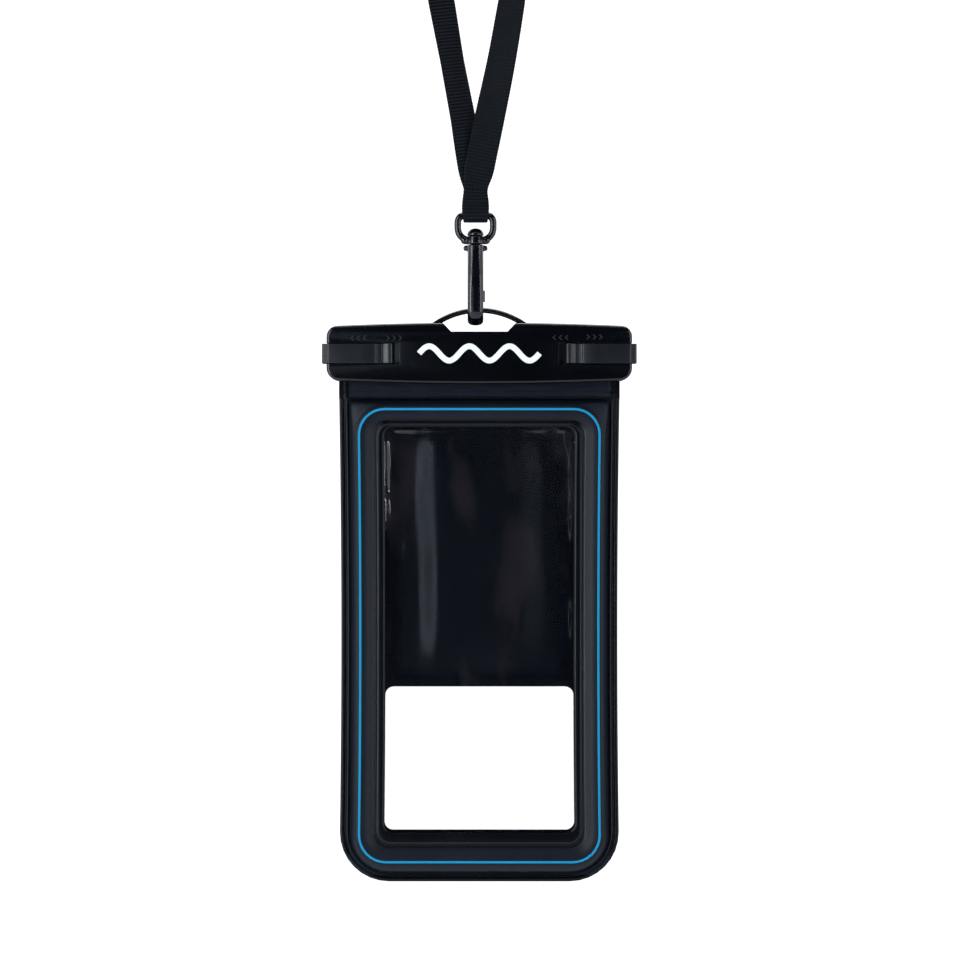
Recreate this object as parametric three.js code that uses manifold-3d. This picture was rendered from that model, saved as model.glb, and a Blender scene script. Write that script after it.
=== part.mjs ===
// A waterproof phone pouch that hangs from a ribbon neck strap, in millimetres.
// +Z is up, the clear front faces -Y, and the origin is the top of the strap's loop.
import * as THREE from 'three';
import { mergeVertices } from 'three/addons/utils/BufferGeometryUtils.js';
import Module from 'manifold-3d';

const wasm = await Module();
wasm.setup();

// Clearance between pieces that touch or turn on each other
const GAP = 0.3;
const PRINT_GAP = 0.15;

// Swivel eye: a round wire bent to a flat-topped ring, on a flared collar
const EYE_TOP_Z = -121.05;
const EYE_WIRE_RADIUS = 1.375;
const EYE_HALF_WIDTH = 6.9;
const EYE_HEIGHT = 9.75;
const EYE_TOP_CORNER = 2.6;
const EYE_BOTTOM_CORNER = 4.8;
const EYE_CORNER_STEPS = 7;
const COLLAR_TOP_RADIUS = 3.05;
const COLLAR_BOTTOM_RADIUS = 3.75;
const COLLAR_HEIGHT = 3;

// Neck strap: a flat ribbon, each point with x, y, the rise of its centre line over the eye's top wire, the turn
// of its width about Z in degrees, and its width, which narrows where it is sewn and where it passes through the eye
const STRAP_WIDTH = 12;
const STRAP_SEWN_WIDTH = 9;
const STRAP_EYE_WIDTH = 9.4;
const STRAP_THICKNESS = 1.1;
const STRAP_STEPS = 72;
const STRAP_FREE_RISE = 17.55;
const STRAP_ROUTE = [
  [0.0, 1.5, 17.55, 0, STRAP_WIDTH], [0.0, 1.5, 10.25, 0, STRAP_SEWN_WIDTH],
  [0.0, 2.0, 4.55, 0, STRAP_EYE_WIDTH + 1.2], [0.0, 2.25, 0.05, 0, STRAP_EYE_WIDTH + 0.8],
  [0.0, 1.6, -1.65, 0, STRAP_EYE_WIDTH], [0.0, 0.0, -2.35, 0, STRAP_EYE_WIDTH],
  [0.0, -1.6, -1.65, 0, STRAP_EYE_WIDTH], [0.0, -2.25, 0.05, 0, STRAP_EYE_WIDTH + 1.2],
  [0.0, -2.0, 4.55, 0, STRAP_EYE_WIDTH + 1.4], [0.1, -1.5, 10.25, 0, STRAP_SEWN_WIDTH],
  [1.2, -1.4, 17.05, -2, STRAP_WIDTH], [5.2, -1.2, 36.45, -8, STRAP_WIDTH],
  [10.1, -0.8, 60.25, -21, STRAP_WIDTH], [14.2, -0.3, 84.05, -28, STRAP_WIDTH],
  [16.3, 0.0, 97.05, -60, STRAP_WIDTH], [16.6, 0.0, 106.05, -88, STRAP_WIDTH],
  [12.0, 0.0, 115.85, -90, STRAP_WIDTH], [0.0, 0.0, 120.5, -90, STRAP_WIDTH],
  [-12.0, 0.0, 115.85, -90, STRAP_WIDTH], [-16.3, 0.0, 106.05, -98, STRAP_WIDTH],
  [-15.8, 0.0, 97.05, -128, STRAP_WIDTH], [-13.4, 0.1, 84.05, -150, STRAP_WIDTH],
  [-9.1, 0.3, 60.25, -141, STRAP_WIDTH], [-4.6, 0.5, 36.45, -146, STRAP_WIDTH],
  [-1.2, 0.2, 17.05, -172, STRAP_WIDTH - 1], [0.0, 0.0, 10.25, -180, STRAP_SEWN_WIDTH],
  [0.0, 0.0, 5.55, -180, STRAP_SEWN_WIDTH],
];

// Hook: stem, domed head, round spine, bowl and nose
const STEM_RADIUS = 1.3;
const HEAD_RADIUS = 2.95;
const HEAD_HEIGHT = 2.9;
const SPINE_RADIUS = 3.1;
const EAR_RADIUS = 1.15;
const EAR_LENGTH = 9.6;
const BOWL_INNER_RADIUS = 2.6;
const BOWL_FLOOR = 4.4;
const SPINE_DEPTH = 3.6;
const NOSE_DEPTH = 2.6;
const NOSE_RISE = 2;

// Gate of the hook, its pin and its spring
const GATE_PIVOT_Y = 2.2;
const GATE_PIVOT_RISE = 15;
const GATE_THICKNESS = 1.6;
const GATE_WIDTH = 6;
const GATE_FLAP = 0.7;
const GATE_EYE_RADIUS = 1.6;
const GATE_PIN_RADIUS = 0.6;
const GATE_LUG_WIDTH = 2;
const GATE_CHEEK = 0.9;
const SPRING_WIDTH = 0.5;
const SPRING_RADIUS = 1.3;

// The pouch and its clip sit a little to the side of the strap, as they hang in the photograph
const POUCH_X = 1.5;
const POUCH_Y = -0.25;

// Arch of the rear bar, that the hook takes
const ARCH_DROP = 37.05;
const ARCH_Z = EYE_TOP_Z - ARCH_DROP;
const ARCH_CENTRE_RADIUS = 30.35;
const ARCH_HALF_HEIGHT = 1.05;
const ARCH_HALF_DEPTH = 1;
const ARCH_REACH = 19.4;

// Clip bars, with the dip under the arch
const CLIP_HALF_WIDTH = 59.4;
const CLIP_DROP = 6.2;
const CLIP_HEIGHT = 21.4;
const CLIP_TOP_Z = ARCH_Z - CLIP_DROP;
const CLIP_BOTTOM_Z = CLIP_TOP_Z - CLIP_HEIGHT;
const CLIP_CROWN = 1.2;
const CLIP_TOP_CORNER = 4.3;
const CLIP_BOTTOM_CORNER = 5.1;
const CLIP_HALF_DEPTH = 6.5;
const CLIP_EDGE_ROUND = 1.2;
const FILM = 0.55;
const FILM_SPLIT = 0.4;
const MOUTH_DROP = 3.4;
const MOUTH_TOP_Z = CLIP_TOP_Z - MOUTH_DROP;
const SEAL_HEIGHT = 3.2;
const SEAL_DEPTH = 1.8;
const SEAL_RISE = 3.9;
const SEAL_Z = CLIP_BOTTOM_Z + SEAL_RISE;
const DIP_HALF_FLOOR = 11;
const DIP_HALF_MOUTH = 14.3;
const DIP_DEPTH = 2.3;
const DIP_FLOOR_Z = CLIP_TOP_Z - DIP_DEPTH;

// Flip levers, which keep their place at the bars' ends
const LEVER_DROP = 10.8;
const LEVER_Z = CLIP_TOP_Z - LEVER_DROP;
const LEVER_HEIGHT = 7.6;
const LEVER_ARM = 2.1;
const LEVER_PROUD = 0.5;
const LEVER_RIDGE = 1.3;
const LEVER_REACH = 25.8;
const LEVER_RIDGE_WIDTH = 4;
const LEVER_DIP_WIDTH = 2.7;
const LEVER_PIVOT_INSET = 3.1;
const LEVER_TIP_X = CLIP_HALF_WIDTH - LEVER_REACH;
const LEVER_RIDGE_X = LEVER_TIP_X + LEVER_RIDGE_WIDTH;
const LEVER_DIP_X = LEVER_RIDGE_X + LEVER_DIP_WIDTH;
const LEVER_PIVOT_X = CLIP_HALF_WIDTH - LEVER_PIVOT_INSET;
const LEVER_PIVOT_Y = 3.4;
const LEVER_BOSS_RADIUS = 2.4;
const LEVER_BOSS_ROOM = 0.9;
const LEVER_OVERHANG = 1.8;
const LEVER_END_X = CLIP_HALF_WIDTH + LEVER_OVERHANG;
const LEVER_END_THICKNESS = 2.5;
const LEVER_PIN_RADIUS = 1;
const LEVER_PIN_SEAT = 3;
const LEVER_RECESS_ROOM = 2.8;
const LEVER_RECESS_END_X = LEVER_TIP_X - LEVER_RECESS_ROOM;
const SEAL_END_WALL = 1.6;

// Pouch panels: nested outlines, each with half width, top, bottom and the radii of its corners
const POUCH_SIDE_INSET = 4.7;
const POUCH_DROP = 3.6;
const POUCH_HEIGHT = 191.4;
const POUCH_CORNER = 19.5;
const WELD = { side: 3.2, top: 3.4, bottom: 2.8, topRadius: 2.5 };
const LINE = { side: 7.7, top: 7.4, bottom: 8, topRadius: 10.1, bottomRadius: 10.6 };
const GROOVE = { side: 13.7, top: 11.5, bottom: 13.7, radius: 6.5 };
const WINDOW = { side: 17.4, top: 14.3, bottom: 19.3, radius: 3.6 };
const POUCH_HALF_WIDTH = CLIP_HALF_WIDTH - POUCH_SIDE_INSET;
const POUCH_TOP_Z = CLIP_BOTTOM_Z - POUCH_DROP;
const POUCH_BOTTOM_Z = POUCH_TOP_Z - POUCH_HEIGHT;
const POUCH_TOP_CORNER = 1.5;
const NECK_LAP = 3.2;
const outlineWithin = (side, top, bottom, topRadius, bottomRadius) => ({
  half: POUCH_HALF_WIDTH - side, top: POUCH_TOP_Z - top, bottom: POUCH_BOTTOM_Z + bottom, topRadius, bottomRadius,
});
const OUTLINE = {
  outer: outlineWithin(0, 0, 0, POUCH_TOP_CORNER, POUCH_CORNER),
  weld: outlineWithin(WELD.side, WELD.top, WELD.bottom, WELD.topRadius, POUCH_CORNER - WELD.side),
  line: outlineWithin(LINE.side, LINE.top, LINE.bottom, LINE.topRadius, LINE.bottomRadius),
  groove: outlineWithin(GROOVE.side, GROOVE.top, GROOVE.bottom, GROOVE.radius, GROOVE.radius),
  window: outlineWithin(WINDOW.side, WINDOW.top, WINDOW.bottom, WINDOW.radius, WINDOW.radius),
};
const WAIST = 0.9;
const SIDE_STEPS = 6;
const CORNER_STEPS = 6;
const PUFF = 5.8;
const GROOVE_DEPTH = 3.7;
const RIDGE = 4.5;
const LIP = 0.4;
const POCKET_HALF_DEPTH = 3;
const WINDOW_FILM = 0.3;
const LINE_WIDTH = 1.1;
const LINE_THICKNESS = 0.3;
const CAMERA_WINDOW_HEIGHT = 55.9;
const CAMERA_WINDOW_RISE = 0.6;
const CAMERA_WINDOW_CORNER = 3.4;
const cameraWindowBottomZ = OUTLINE.window.bottom + CAMERA_WINDOW_RISE;
const CAMERA_WINDOW = {
  half: OUTLINE.window.half, top: cameraWindowBottomZ + CAMERA_WINDOW_HEIGHT, bottom: cameraWindowBottomZ,
  topRadius: CAMERA_WINDOW_CORNER, bottomRadius: CAMERA_WINDOW_CORNER,
};
const CAMERA_FILM_MARGIN = 2.4;

// Wave emblem on the front bar
const EMBLEM_LENGTH = 46.8;
const EMBLEM_HEIGHT = 7.8;
const EMBLEM_STROKE = 2.2;
const EMBLEM_WAVES = 3;
const EMBLEM_THICKNESS = 0.3;

const material = (color, roughness, metalness = 0, opacity = 1) => new THREE.MeshStandardMaterial({
  color, roughness, metalness, opacity, transparent: opacity < 1,
});
const webbing = material(0x0b0c10, 0.85);
const hardware = material(0x0c0d10, 0.3, 0.2);
const springSteel = material(0x8b8f94, 0.35, 1);
const clipPlastic = material(0x08090c, 0.35);
const leverPlastic = material(0x20262d, 0.5);
const sealRubber = material(0x2a2b2d, 0.8);
const panelVinyl = material(0x141823, 0.45);
const sheetVinyl = material(0x05060b, 0.25);
const clearFilm = material(0xf4f7fa, 0.08, 0, 0.25);
const lineBlue = material(0x219bdb, 0.5);
const printWhite = material(0xf5f5f5, 0.6);

const v3 = (x, y, z) => new THREE.Vector3(x, y, z);
const span = (count) => Array.from({ length: count }, (_, index) => index);
const AXIS_X = v3(1, 0, 0);
const AXIS_Y = v3(0, 1, 0);
const AXIS_Z = v3(0, 0, 1);

// A closed solid from rings of points with the same count, in a row or joined into a loop
function loft(rings, isLoop = false) {
  const count = rings[0].length;
  const points = rings.flat();
  const faces = [];
  const pairs = isLoop ? rings.length : rings.length - 1;
  for (const ring of span(pairs)) {
    const next = (ring + 1) % rings.length;
    for (const step of span(count)) {
      const after = (step + 1) % count;
      const a = ring * count + step;
      const b = ring * count + after;
      const c = next * count + after;
      const d = next * count + step;
      faces.push(a, b, c, a, c, d);
    }
  }
  if (!isLoop) {
    for (const [ring, isLast] of [[0, false], [rings.length - 1, true]]) {
      const centre = rings[ring].reduce((sum, point) => sum.add(point), v3(0, 0, 0)).divideScalar(count);
      points.push(centre);
      for (const step of span(count)) {
        const edge = [ring * count + step, ring * count + (step + 1) % count];
        if (!isLast) edge.reverse();
        faces.push(edge[0], edge[1], points.length - 1);
      }
    }
  }
  let volume = 0;
  for (let face = 0; face < faces.length; face += 3) {
    const [a, b, c] = [points[faces[face]], points[faces[face + 1]], points[faces[face + 2]]];
    volume += a.dot(b.clone().cross(c));
  }
  if (volume < 0) faces.reverse();
  const geometry = new THREE.BufferGeometry().setFromPoints(points);
  geometry.setIndex(faces);
  return geometry;
}

// Points around a rectangle with round corners in X and Z, each with the angle that faces outward there
function roundedRectangle({ half, top, bottom, topRadius, bottomRadius }, cornerSteps, sideSteps) {
  const corner = (x, z, radius, start) => span(cornerSteps + 1).map((step) => {
    const angle = start + (Math.PI / 2) * step / cornerSteps;
    return { x: x + radius * Math.cos(angle), z: z + radius * Math.sin(angle), angle };
  });
  const side = (x, from, to, angle) => span(sideSteps - 1).map((step) => (
    { x, z: THREE.MathUtils.lerp(from, to, (step + 1) / sideSteps), angle }));
  return [
    ...corner(half - topRadius, top - topRadius, topRadius, 0),
    ...corner(-half + topRadius, top - topRadius, topRadius, Math.PI / 2),
    ...side(-half, top - topRadius, bottom + bottomRadius, Math.PI),
    ...corner(-half + bottomRadius, bottom + bottomRadius, bottomRadius, Math.PI),
    ...corner(half - bottomRadius, bottom + bottomRadius, bottomRadius, Math.PI * 1.5),
    ...side(half, bottom + bottomRadius, top - topRadius, 0),
  ];
}

function toSolid(geometry) {
  const bare = geometry.clone();
  bare.deleteAttribute('normal');
  bare.deleteAttribute('uv');
  const merged = mergeVertices(bare, 1e-5);
  return new wasm.Manifold(new wasm.Mesh({
    numProp: 3,
    vertProperties: Float32Array.from(merged.attributes.position.array),
    triVerts: Uint32Array.from(merged.index.array),
  }));
}

function toGeometry(solid) {
  const { vertProperties, triVerts } = solid.getMesh();
  const geometry = new THREE.BufferGeometry();
  geometry.setAttribute('position', new THREE.BufferAttribute(Float32Array.from(vertProperties), 3));
  geometry.setIndex(new THREE.BufferAttribute(Uint32Array.from(triVerts), 1));
  return geometry;
}

function join(...geometries) {
  return toGeometry(geometries.map(toSolid).reduce((sum, solid) => sum.add(solid)));
}

function cut(geometry, ...tools) {
  return toGeometry(tools.map(toSolid).reduce((left, tool) => left.subtract(tool), toSolid(geometry)));
}

// A block between two corners
function block(low, high) {
  const size = high.map((value, axis) => value - low[axis]);
  const middle = high.map((value, axis) => (value + low[axis]) / 2);
  return new THREE.BoxGeometry(...size).translate(...middle);
}

// A cylinder of one radius about a line along X or Z
function rodX(radius, x0, x1, y, z, sides = 20) {
  return new THREE.CylinderGeometry(radius, radius, x1 - x0, sides).rotateZ(Math.PI / 2).translate((x0 + x1) / 2, y, z);
}

function rodZ(radius, z0, z1, x = 0, y = 0, sides = 20) {
  return new THREE.CylinderGeometry(radius, radius, z1 - z0, sides).rotateX(Math.PI / 2).translate(x, y, (z0 + z1) / 2);
}

// A turned piece about Z from radius and height pairs
function turned(profile, sides = 28) {
  return new THREE.LatheGeometry(profile.map(([r, z]) => new THREE.Vector2(r, z)), sides).rotateX(Math.PI / 2);
}

// A shape drawn in X and Z, made solid along Y, or in Y and Z, made solid along X
function slabAlongY(shape, y0, y1, options = {}) {
  const frame = new THREE.Matrix4().makeBasis(AXIS_X, AXIS_Z, AXIS_Y.clone().negate());
  return new THREE.ExtrudeGeometry(shape, { depth: y1 - y0, bevelEnabled: false, curveSegments: 6, ...options })
    .applyMatrix4(frame).translate(0, y1, 0);
}

function slabAlongX(shape, x0, x1) {
  const frame = new THREE.Matrix4().makeBasis(AXIS_Y, AXIS_Z, AXIS_X);
  return new THREE.ExtrudeGeometry(shape, { depth: x1 - x0, bevelEnabled: false, curveSegments: 8 })
    .applyMatrix4(frame).translate(x0, 0, 0);
}

const polygon = (points) => new THREE.Shape(points.map(([x, y]) => new THREE.Vector2(x, y)));

function node(parent, name, geometry, finish) {
  const mesh = new THREE.Mesh(geometry, finish);
  mesh.name = name;
  parent.add(mesh);
  return mesh;
}

// Neck strap

// The height of a point of the strap, whose free part reaches from the sewn part up to the origin
function strapLevel(rise) {
  const topRise = Math.max(...STRAP_ROUTE.map((point) => point[2]));
  const stretch = (-STRAP_THICKNESS / 2 - EYE_TOP_Z - STRAP_FREE_RISE) / (topRise - STRAP_FREE_RISE);
  return EYE_TOP_Z + (rise < STRAP_FREE_RISE ? rise : STRAP_FREE_RISE + (rise - STRAP_FREE_RISE) * stretch);
}

function strapGeometry() {
  const points = STRAP_ROUTE.map(([x, y, rise]) => v3(x, y, strapLevel(rise)));
  const route = new THREE.CatmullRomCurve3(points, false, 'centripetal');
  const last = STRAP_ROUTE.length - 1;
  const rings = span(STRAP_STEPS + 1).map((step) => {
    const along = last * step / STRAP_STEPS;
    const before = Math.min(Math.floor(along), last - 1);
    const share = along - before;
    const between = (column) => THREE.MathUtils.lerp(STRAP_ROUTE[before][column], STRAP_ROUTE[before + 1][column], share);
    const turn = THREE.MathUtils.degToRad(between(3));
    const centre = route.getPoint(along / last);
    const heading = route.getTangent(along / last);
    const across = v3(Math.cos(turn), Math.sin(turn), 0);
    across.addScaledVector(heading, -across.dot(heading)).normalize();
    const face = heading.clone().cross(across);
    const rim = between(4) / 2;
    const flat = rim - STRAP_THICKNESS * 0.3;
    const thick = STRAP_THICKNESS / 2;
    const thin = STRAP_THICKNESS * 0.2;
    const section = [
      [flat, thick], [rim, thin], [rim, -thin], [flat, -thick], [-flat, -thick], [-rim, -thin], [-rim, thin],
      [-flat, thick],
    ];
    return section.map(([w, t]) => centre.clone().addScaledVector(across, w).addScaledVector(face, t));
  });
  return loft(rings);
}

// Swivel eye

const eyeBottomZ = EYE_TOP_Z - EYE_HEIGHT;
const collarBottomZ = eyeBottomZ - EYE_WIRE_RADIUS - 0.1;
const collarTopZ = collarBottomZ + COLLAR_HEIGHT;

function eyeGeometry() {
  const outline = {
    half: EYE_HALF_WIDTH, top: EYE_TOP_Z, bottom: eyeBottomZ,
    topRadius: EYE_TOP_CORNER, bottomRadius: EYE_BOTTOM_CORNER,
  };
  const rings = roundedRectangle(outline, EYE_CORNER_STEPS, 1).map(({ x, z, angle }) => {
    const outward = v3(Math.cos(angle), 0, Math.sin(angle));
    return span(10).map((side) => {
      const turn = 2 * Math.PI * side / 10;
      return v3(x, 0, z).addScaledVector(outward, EYE_WIRE_RADIUS * Math.cos(turn))
        .addScaledVector(AXIS_Y, EYE_WIRE_RADIUS * Math.sin(turn));
    });
  });
  const collar = turned([
    [0, collarTopZ], [COLLAR_TOP_RADIUS, collarTopZ], [(COLLAR_TOP_RADIUS + COLLAR_BOTTOM_RADIUS) / 2 + 0.15,
      (collarTopZ + collarBottomZ) / 2], [COLLAR_BOTTOM_RADIUS, collarBottomZ], [0, collarBottomZ],
  ].reverse());
  const bore = rodZ(STEM_RADIUS + GAP, collarBottomZ - 1, collarTopZ + 1);
  return cut(join(loft(rings, true), collar), bore);
}

// Hook, gate, pin and spring

const spineTopZ = collarBottomZ - GAP;
const bowlZ = ARCH_Z - ARCH_HALF_HEIGHT - GAP - 0.15 + BOWL_INNER_RADIUS;
const gatePivotZ = bowlZ + GATE_PIVOT_RISE;
const noseTopZ = bowlZ + NOSE_RISE;
const noseCentreY = BOWL_INNER_RADIUS + NOSE_DEPTH / 2;
const spineY = -BOWL_INNER_RADIUS - SPINE_DEPTH / 2;

function hookStations() {
  const half = SPINE_DEPTH / 2;
  const drop = (share) => THREE.MathUtils.lerp(spineTopZ, bowlZ, share);
  const stations = [
    [0, drop(0), SPINE_RADIUS, -90], [0, drop(0.12), SPINE_RADIUS, -90],
    [spineY * 0.22, drop(0.24), SPINE_RADIUS * 0.84, -100], [spineY * 0.6, drop(0.38), half + 0.35, -100],
    [spineY * 0.9, drop(0.55), half + 0.1, -97], [spineY, drop(0.72), half, -90], [spineY, drop(1), half, -90],
  ].map(([y, z, depth, heading]) => ({ y, z, depth, heading }));
  for (const step of span(8)) {
    const share = (step + 1) / 8;
    const angle = Math.PI * (1 + share);
    const bulge = Math.sin(Math.PI * share);
    const ends = THREE.MathUtils.lerp(half, NOSE_DEPTH / 2, share);
    const depth = THREE.MathUtils.lerp(ends, BOWL_FLOOR / 2, bulge);
    const radius = BOWL_INNER_RADIUS + depth;
    stations.push({
      y: radius * Math.cos(angle), z: bowlZ + radius * Math.sin(angle), depth, heading: -90 + 180 * share,
    });
  }
  stations.push({ y: noseCentreY, z: noseTopZ - 0.5, depth: NOSE_DEPTH / 2, heading: 90 });
  stations.push({ y: noseCentreY, z: noseTopZ, depth: NOSE_DEPTH / 2 - 0.4, heading: 90 });
  return stations;
}

function hookGeometry() {
  const rings = hookStations().map(({ y, z, depth, heading }) => {
    const turn = THREE.MathUtils.degToRad(heading);
    const inward = v3(0, -Math.sin(turn), Math.cos(turn));
    return span(14).map((side) => {
      const angle = 2 * Math.PI * side / 14;
      return v3(0, y, z).addScaledVector(AXIS_X, SPINE_RADIUS * Math.cos(angle))
        .addScaledVector(inward, depth * Math.sin(angle));
    });
  });
  const headZ = collarTopZ + GAP;
  const stem = turned([
    [0, spineTopZ - 1], [STEM_RADIUS, spineTopZ - 1], [STEM_RADIUS, headZ], [HEAD_RADIUS, headZ],
    [HEAD_RADIUS * 0.96, headZ + HEAD_HEIGHT * 0.25], [HEAD_RADIUS * 0.78, headZ + HEAD_HEIGHT * 0.62],
    [HEAD_RADIUS * 0.44, headZ + HEAD_HEIGHT * 0.92], [0, headZ + HEAD_HEIGHT],
  ]);
  const ears = new THREE.CapsuleGeometry(EAR_RADIUS, EAR_LENGTH - 2 * EAR_RADIUS, 4, 14)
    .rotateZ(Math.PI / 2).translate(0, 1, spineTopZ - EAR_RADIUS - 0.1);
  const lugShape = new THREE.Shape();
  lugShape.moveTo(spineY * 0.5, gatePivotZ + 1);
  lugShape.lineTo(spineY * 0.5, gatePivotZ - 2.4);
  lugShape.lineTo(GATE_PIVOT_Y, gatePivotZ - GATE_EYE_RADIUS);
  lugShape.absarc(GATE_PIVOT_Y, gatePivotZ, GATE_EYE_RADIUS, -Math.PI / 2, Math.PI * 0.4, false);
  lugShape.lineTo(0.6, gatePivotZ + 4.6);
  const lug = slabAlongX(lugShape, -GATE_LUG_WIDTH / 2, GATE_LUG_WIDTH / 2);
  const pinHole = rodX(GATE_PIN_RADIUS + GAP, -GATE_WIDTH, GATE_WIDTH, GATE_PIVOT_Y, gatePivotZ, 16);
  return cut(join(loft(rings), stem, ears, lug), pinHole);
}

function gateGeometry() {
  const outerY = noseCentreY + GATE_THICKNESS / 2;
  const innerY = noseCentreY - GATE_THICKNESS / 2;
  const endZ = noseTopZ + GAP;
  const plateTopZ = gatePivotZ - 2.6;
  const half = GATE_WIDTH / 2;
  const plate = block([-half, innerY, endZ], [half, outerY, plateTopZ]);
  const flap = block([half - 0.1, innerY, endZ], [half + GATE_FLAP, outerY, endZ + 4.5]);
  const cheekShape = new THREE.Shape();
  cheekShape.moveTo(outerY, plateTopZ - 2.4);
  cheekShape.lineTo(outerY, plateTopZ);
  cheekShape.lineTo(GATE_PIVOT_Y + GATE_EYE_RADIUS * 0.94, gatePivotZ + GATE_EYE_RADIUS * 0.34);
  cheekShape.absarc(GATE_PIVOT_Y, gatePivotZ, GATE_EYE_RADIUS, Math.PI * 0.11, Math.PI * 1.2, false);
  cheekShape.lineTo(innerY, plateTopZ - 2.4);
  const cheeks = [1, -1].map((side) => {
    const [near, far] = [half - GATE_CHEEK, half].map((x) => x * side).sort((a, b) => a - b);
    return slabAlongX(cheekShape, near, far);
  });
  const pinHole = rodX(GATE_PIN_RADIUS + GAP, -GATE_WIDTH, GATE_WIDTH, GATE_PIVOT_Y, gatePivotZ, 16);
  return cut(join(plate, flap, ...cheeks), pinHole);
}

function gateSpringGeometry() {
  const inner = GATE_PIN_RADIUS + GAP;
  const profile = [[inner, 0], [SPRING_RADIUS, 0], [SPRING_RADIUS, SPRING_WIDTH], [inner, SPRING_WIDTH], [inner, 0]];
  return turned(profile, 16).rotateY(Math.PI / 2)
    .translate(GATE_LUG_WIDTH / 2 + GAP, GATE_PIVOT_Y, gatePivotZ);
}

// Clip bars

function clipShape(inset) {
  const half = CLIP_HALF_WIDTH - inset;
  const top = CLIP_TOP_Z - inset;
  const bottom = CLIP_BOTTOM_Z + inset;
  const topCorner = CLIP_TOP_CORNER - inset;
  const bottomCorner = CLIP_BOTTOM_CORNER - inset;
  const shape = new THREE.Shape();
  shape.moveTo(-half, bottom + bottomCorner);
  shape.absarc(-half + bottomCorner, bottom + bottomCorner, bottomCorner, Math.PI, Math.PI * 1.5, false);
  shape.quadraticCurveTo(0, bottom - 2 * CLIP_CROWN, half - bottomCorner, bottom);
  shape.absarc(half - bottomCorner, bottom + bottomCorner, bottomCorner, -Math.PI / 2, 0, false);
  shape.lineTo(half, top - topCorner);
  shape.absarc(half - topCorner, top - topCorner, topCorner, 0, Math.PI / 2, false);
  shape.quadraticCurveTo(0, top + 2 * CLIP_CROWN, -half + topCorner, top);
  shape.absarc(-half + topCorner, top - topCorner, topCorner, Math.PI / 2, Math.PI, false);
  return shape;
}

const clipCrownTopZ = CLIP_TOP_Z + CLIP_CROWN;
const filmHalf = FILM_SPLIT / 2 + FILM;
const clipFaceY = filmHalf + GAP;
const armFrontY = CLIP_HALF_DEPTH + LEVER_PROUD;
const armBackY = armFrontY - LEVER_ARM;
const leverSlotHalf = LEVER_HEIGHT / 2 + GAP;
const notchX = LEVER_PIVOT_X + 1.6;
const bossX = LEVER_PIVOT_X - LEVER_BOSS_RADIUS - LEVER_BOSS_ROOM;
const sealHalf = bossX - SEAL_END_WALL;

// One bar between its flat face and its rounded outer face, on the front (-1) or rear (1)
function barBlank(side) {
  const depth = 2 * (CLIP_HALF_DEPTH - clipFaceY);
  const round = {
    bevelEnabled: true, bevelThickness: CLIP_EDGE_ROUND, bevelSize: CLIP_EDGE_ROUND, bevelSegments: 3,
    depth: depth - 2 * CLIP_EDGE_ROUND,
  };
  const middle = side * clipFaceY;
  const blank = slabAlongY(clipShape(CLIP_EDGE_ROUND), middle - depth / 2, middle + depth / 2, round)
    .translate(0, -CLIP_EDGE_ROUND, 0);
  const far = CLIP_HALF_WIDTH * 2;
  const inner = [middle, -side * CLIP_HALF_DEPTH * 3].sort((a, b) => a - b);
  return cut(blank, block([-far, inner[0], CLIP_BOTTOM_Z * 2], [far, inner[1], 0]));
}

function dipCut() {
  const rise = clipCrownTopZ + 3;
  const slope = (DIP_HALF_MOUTH - DIP_HALF_FLOOR) / (clipCrownTopZ - DIP_FLOOR_Z);
  const mouth = DIP_HALF_FLOOR + slope * (rise - DIP_FLOOR_Z);
  const shape = polygon([[-DIP_HALF_FLOOR, DIP_FLOOR_Z], [DIP_HALF_FLOOR, DIP_FLOOR_Z], [mouth, rise], [-mouth, rise]]);
  return slabAlongY(shape, -CLIP_HALF_DEPTH * 2, CLIP_HALF_DEPTH * 2);
}

// Slots for both levers, from the given X out to past the bar's end
function leverSlots(fromX, y0, y1) {
  const low = LEVER_Z - leverSlotHalf;
  const high = LEVER_Z + leverSlotHalf;
  const far = CLIP_HALF_WIDTH + 5;
  return [block([fromX, y0, low], [far, y1, high]), block([-far, y0, low], [-fromX, y1, high])];
}

function frontBarGeometry() {
  const deep = CLIP_HALF_DEPTH * 2;
  return cut(barBlank(-1), dipCut(), ...leverSlots(LEVER_RECESS_END_X, -deep, -armBackY + GAP),
    ...leverSlots(notchX, -deep, deep));
}

function archGeometry() {
  const centreZ = ARCH_Z - ARCH_CENTRE_RADIUS;
  const reach = Math.asin(ARCH_REACH / ARCH_CENTRE_RADIUS);
  const rings = span(25).map((step) => {
    const angle = THREE.MathUtils.lerp(-reach, reach, step / 24);
    const outward = v3(Math.sin(angle), 0, Math.cos(angle));
    const centre = outward.clone().multiplyScalar(ARCH_CENTRE_RADIUS).add(v3(0, -POUCH_Y, centreZ));
    return span(12).map((side) => {
      const turn = 2 * Math.PI * side / 12;
      return centre.clone().addScaledVector(outward, ARCH_HALF_HEIGHT * Math.cos(turn))
        .addScaledVector(AXIS_Y, ARCH_HALF_DEPTH * Math.sin(turn));
    });
  });
  return loft(rings);
}

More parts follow.
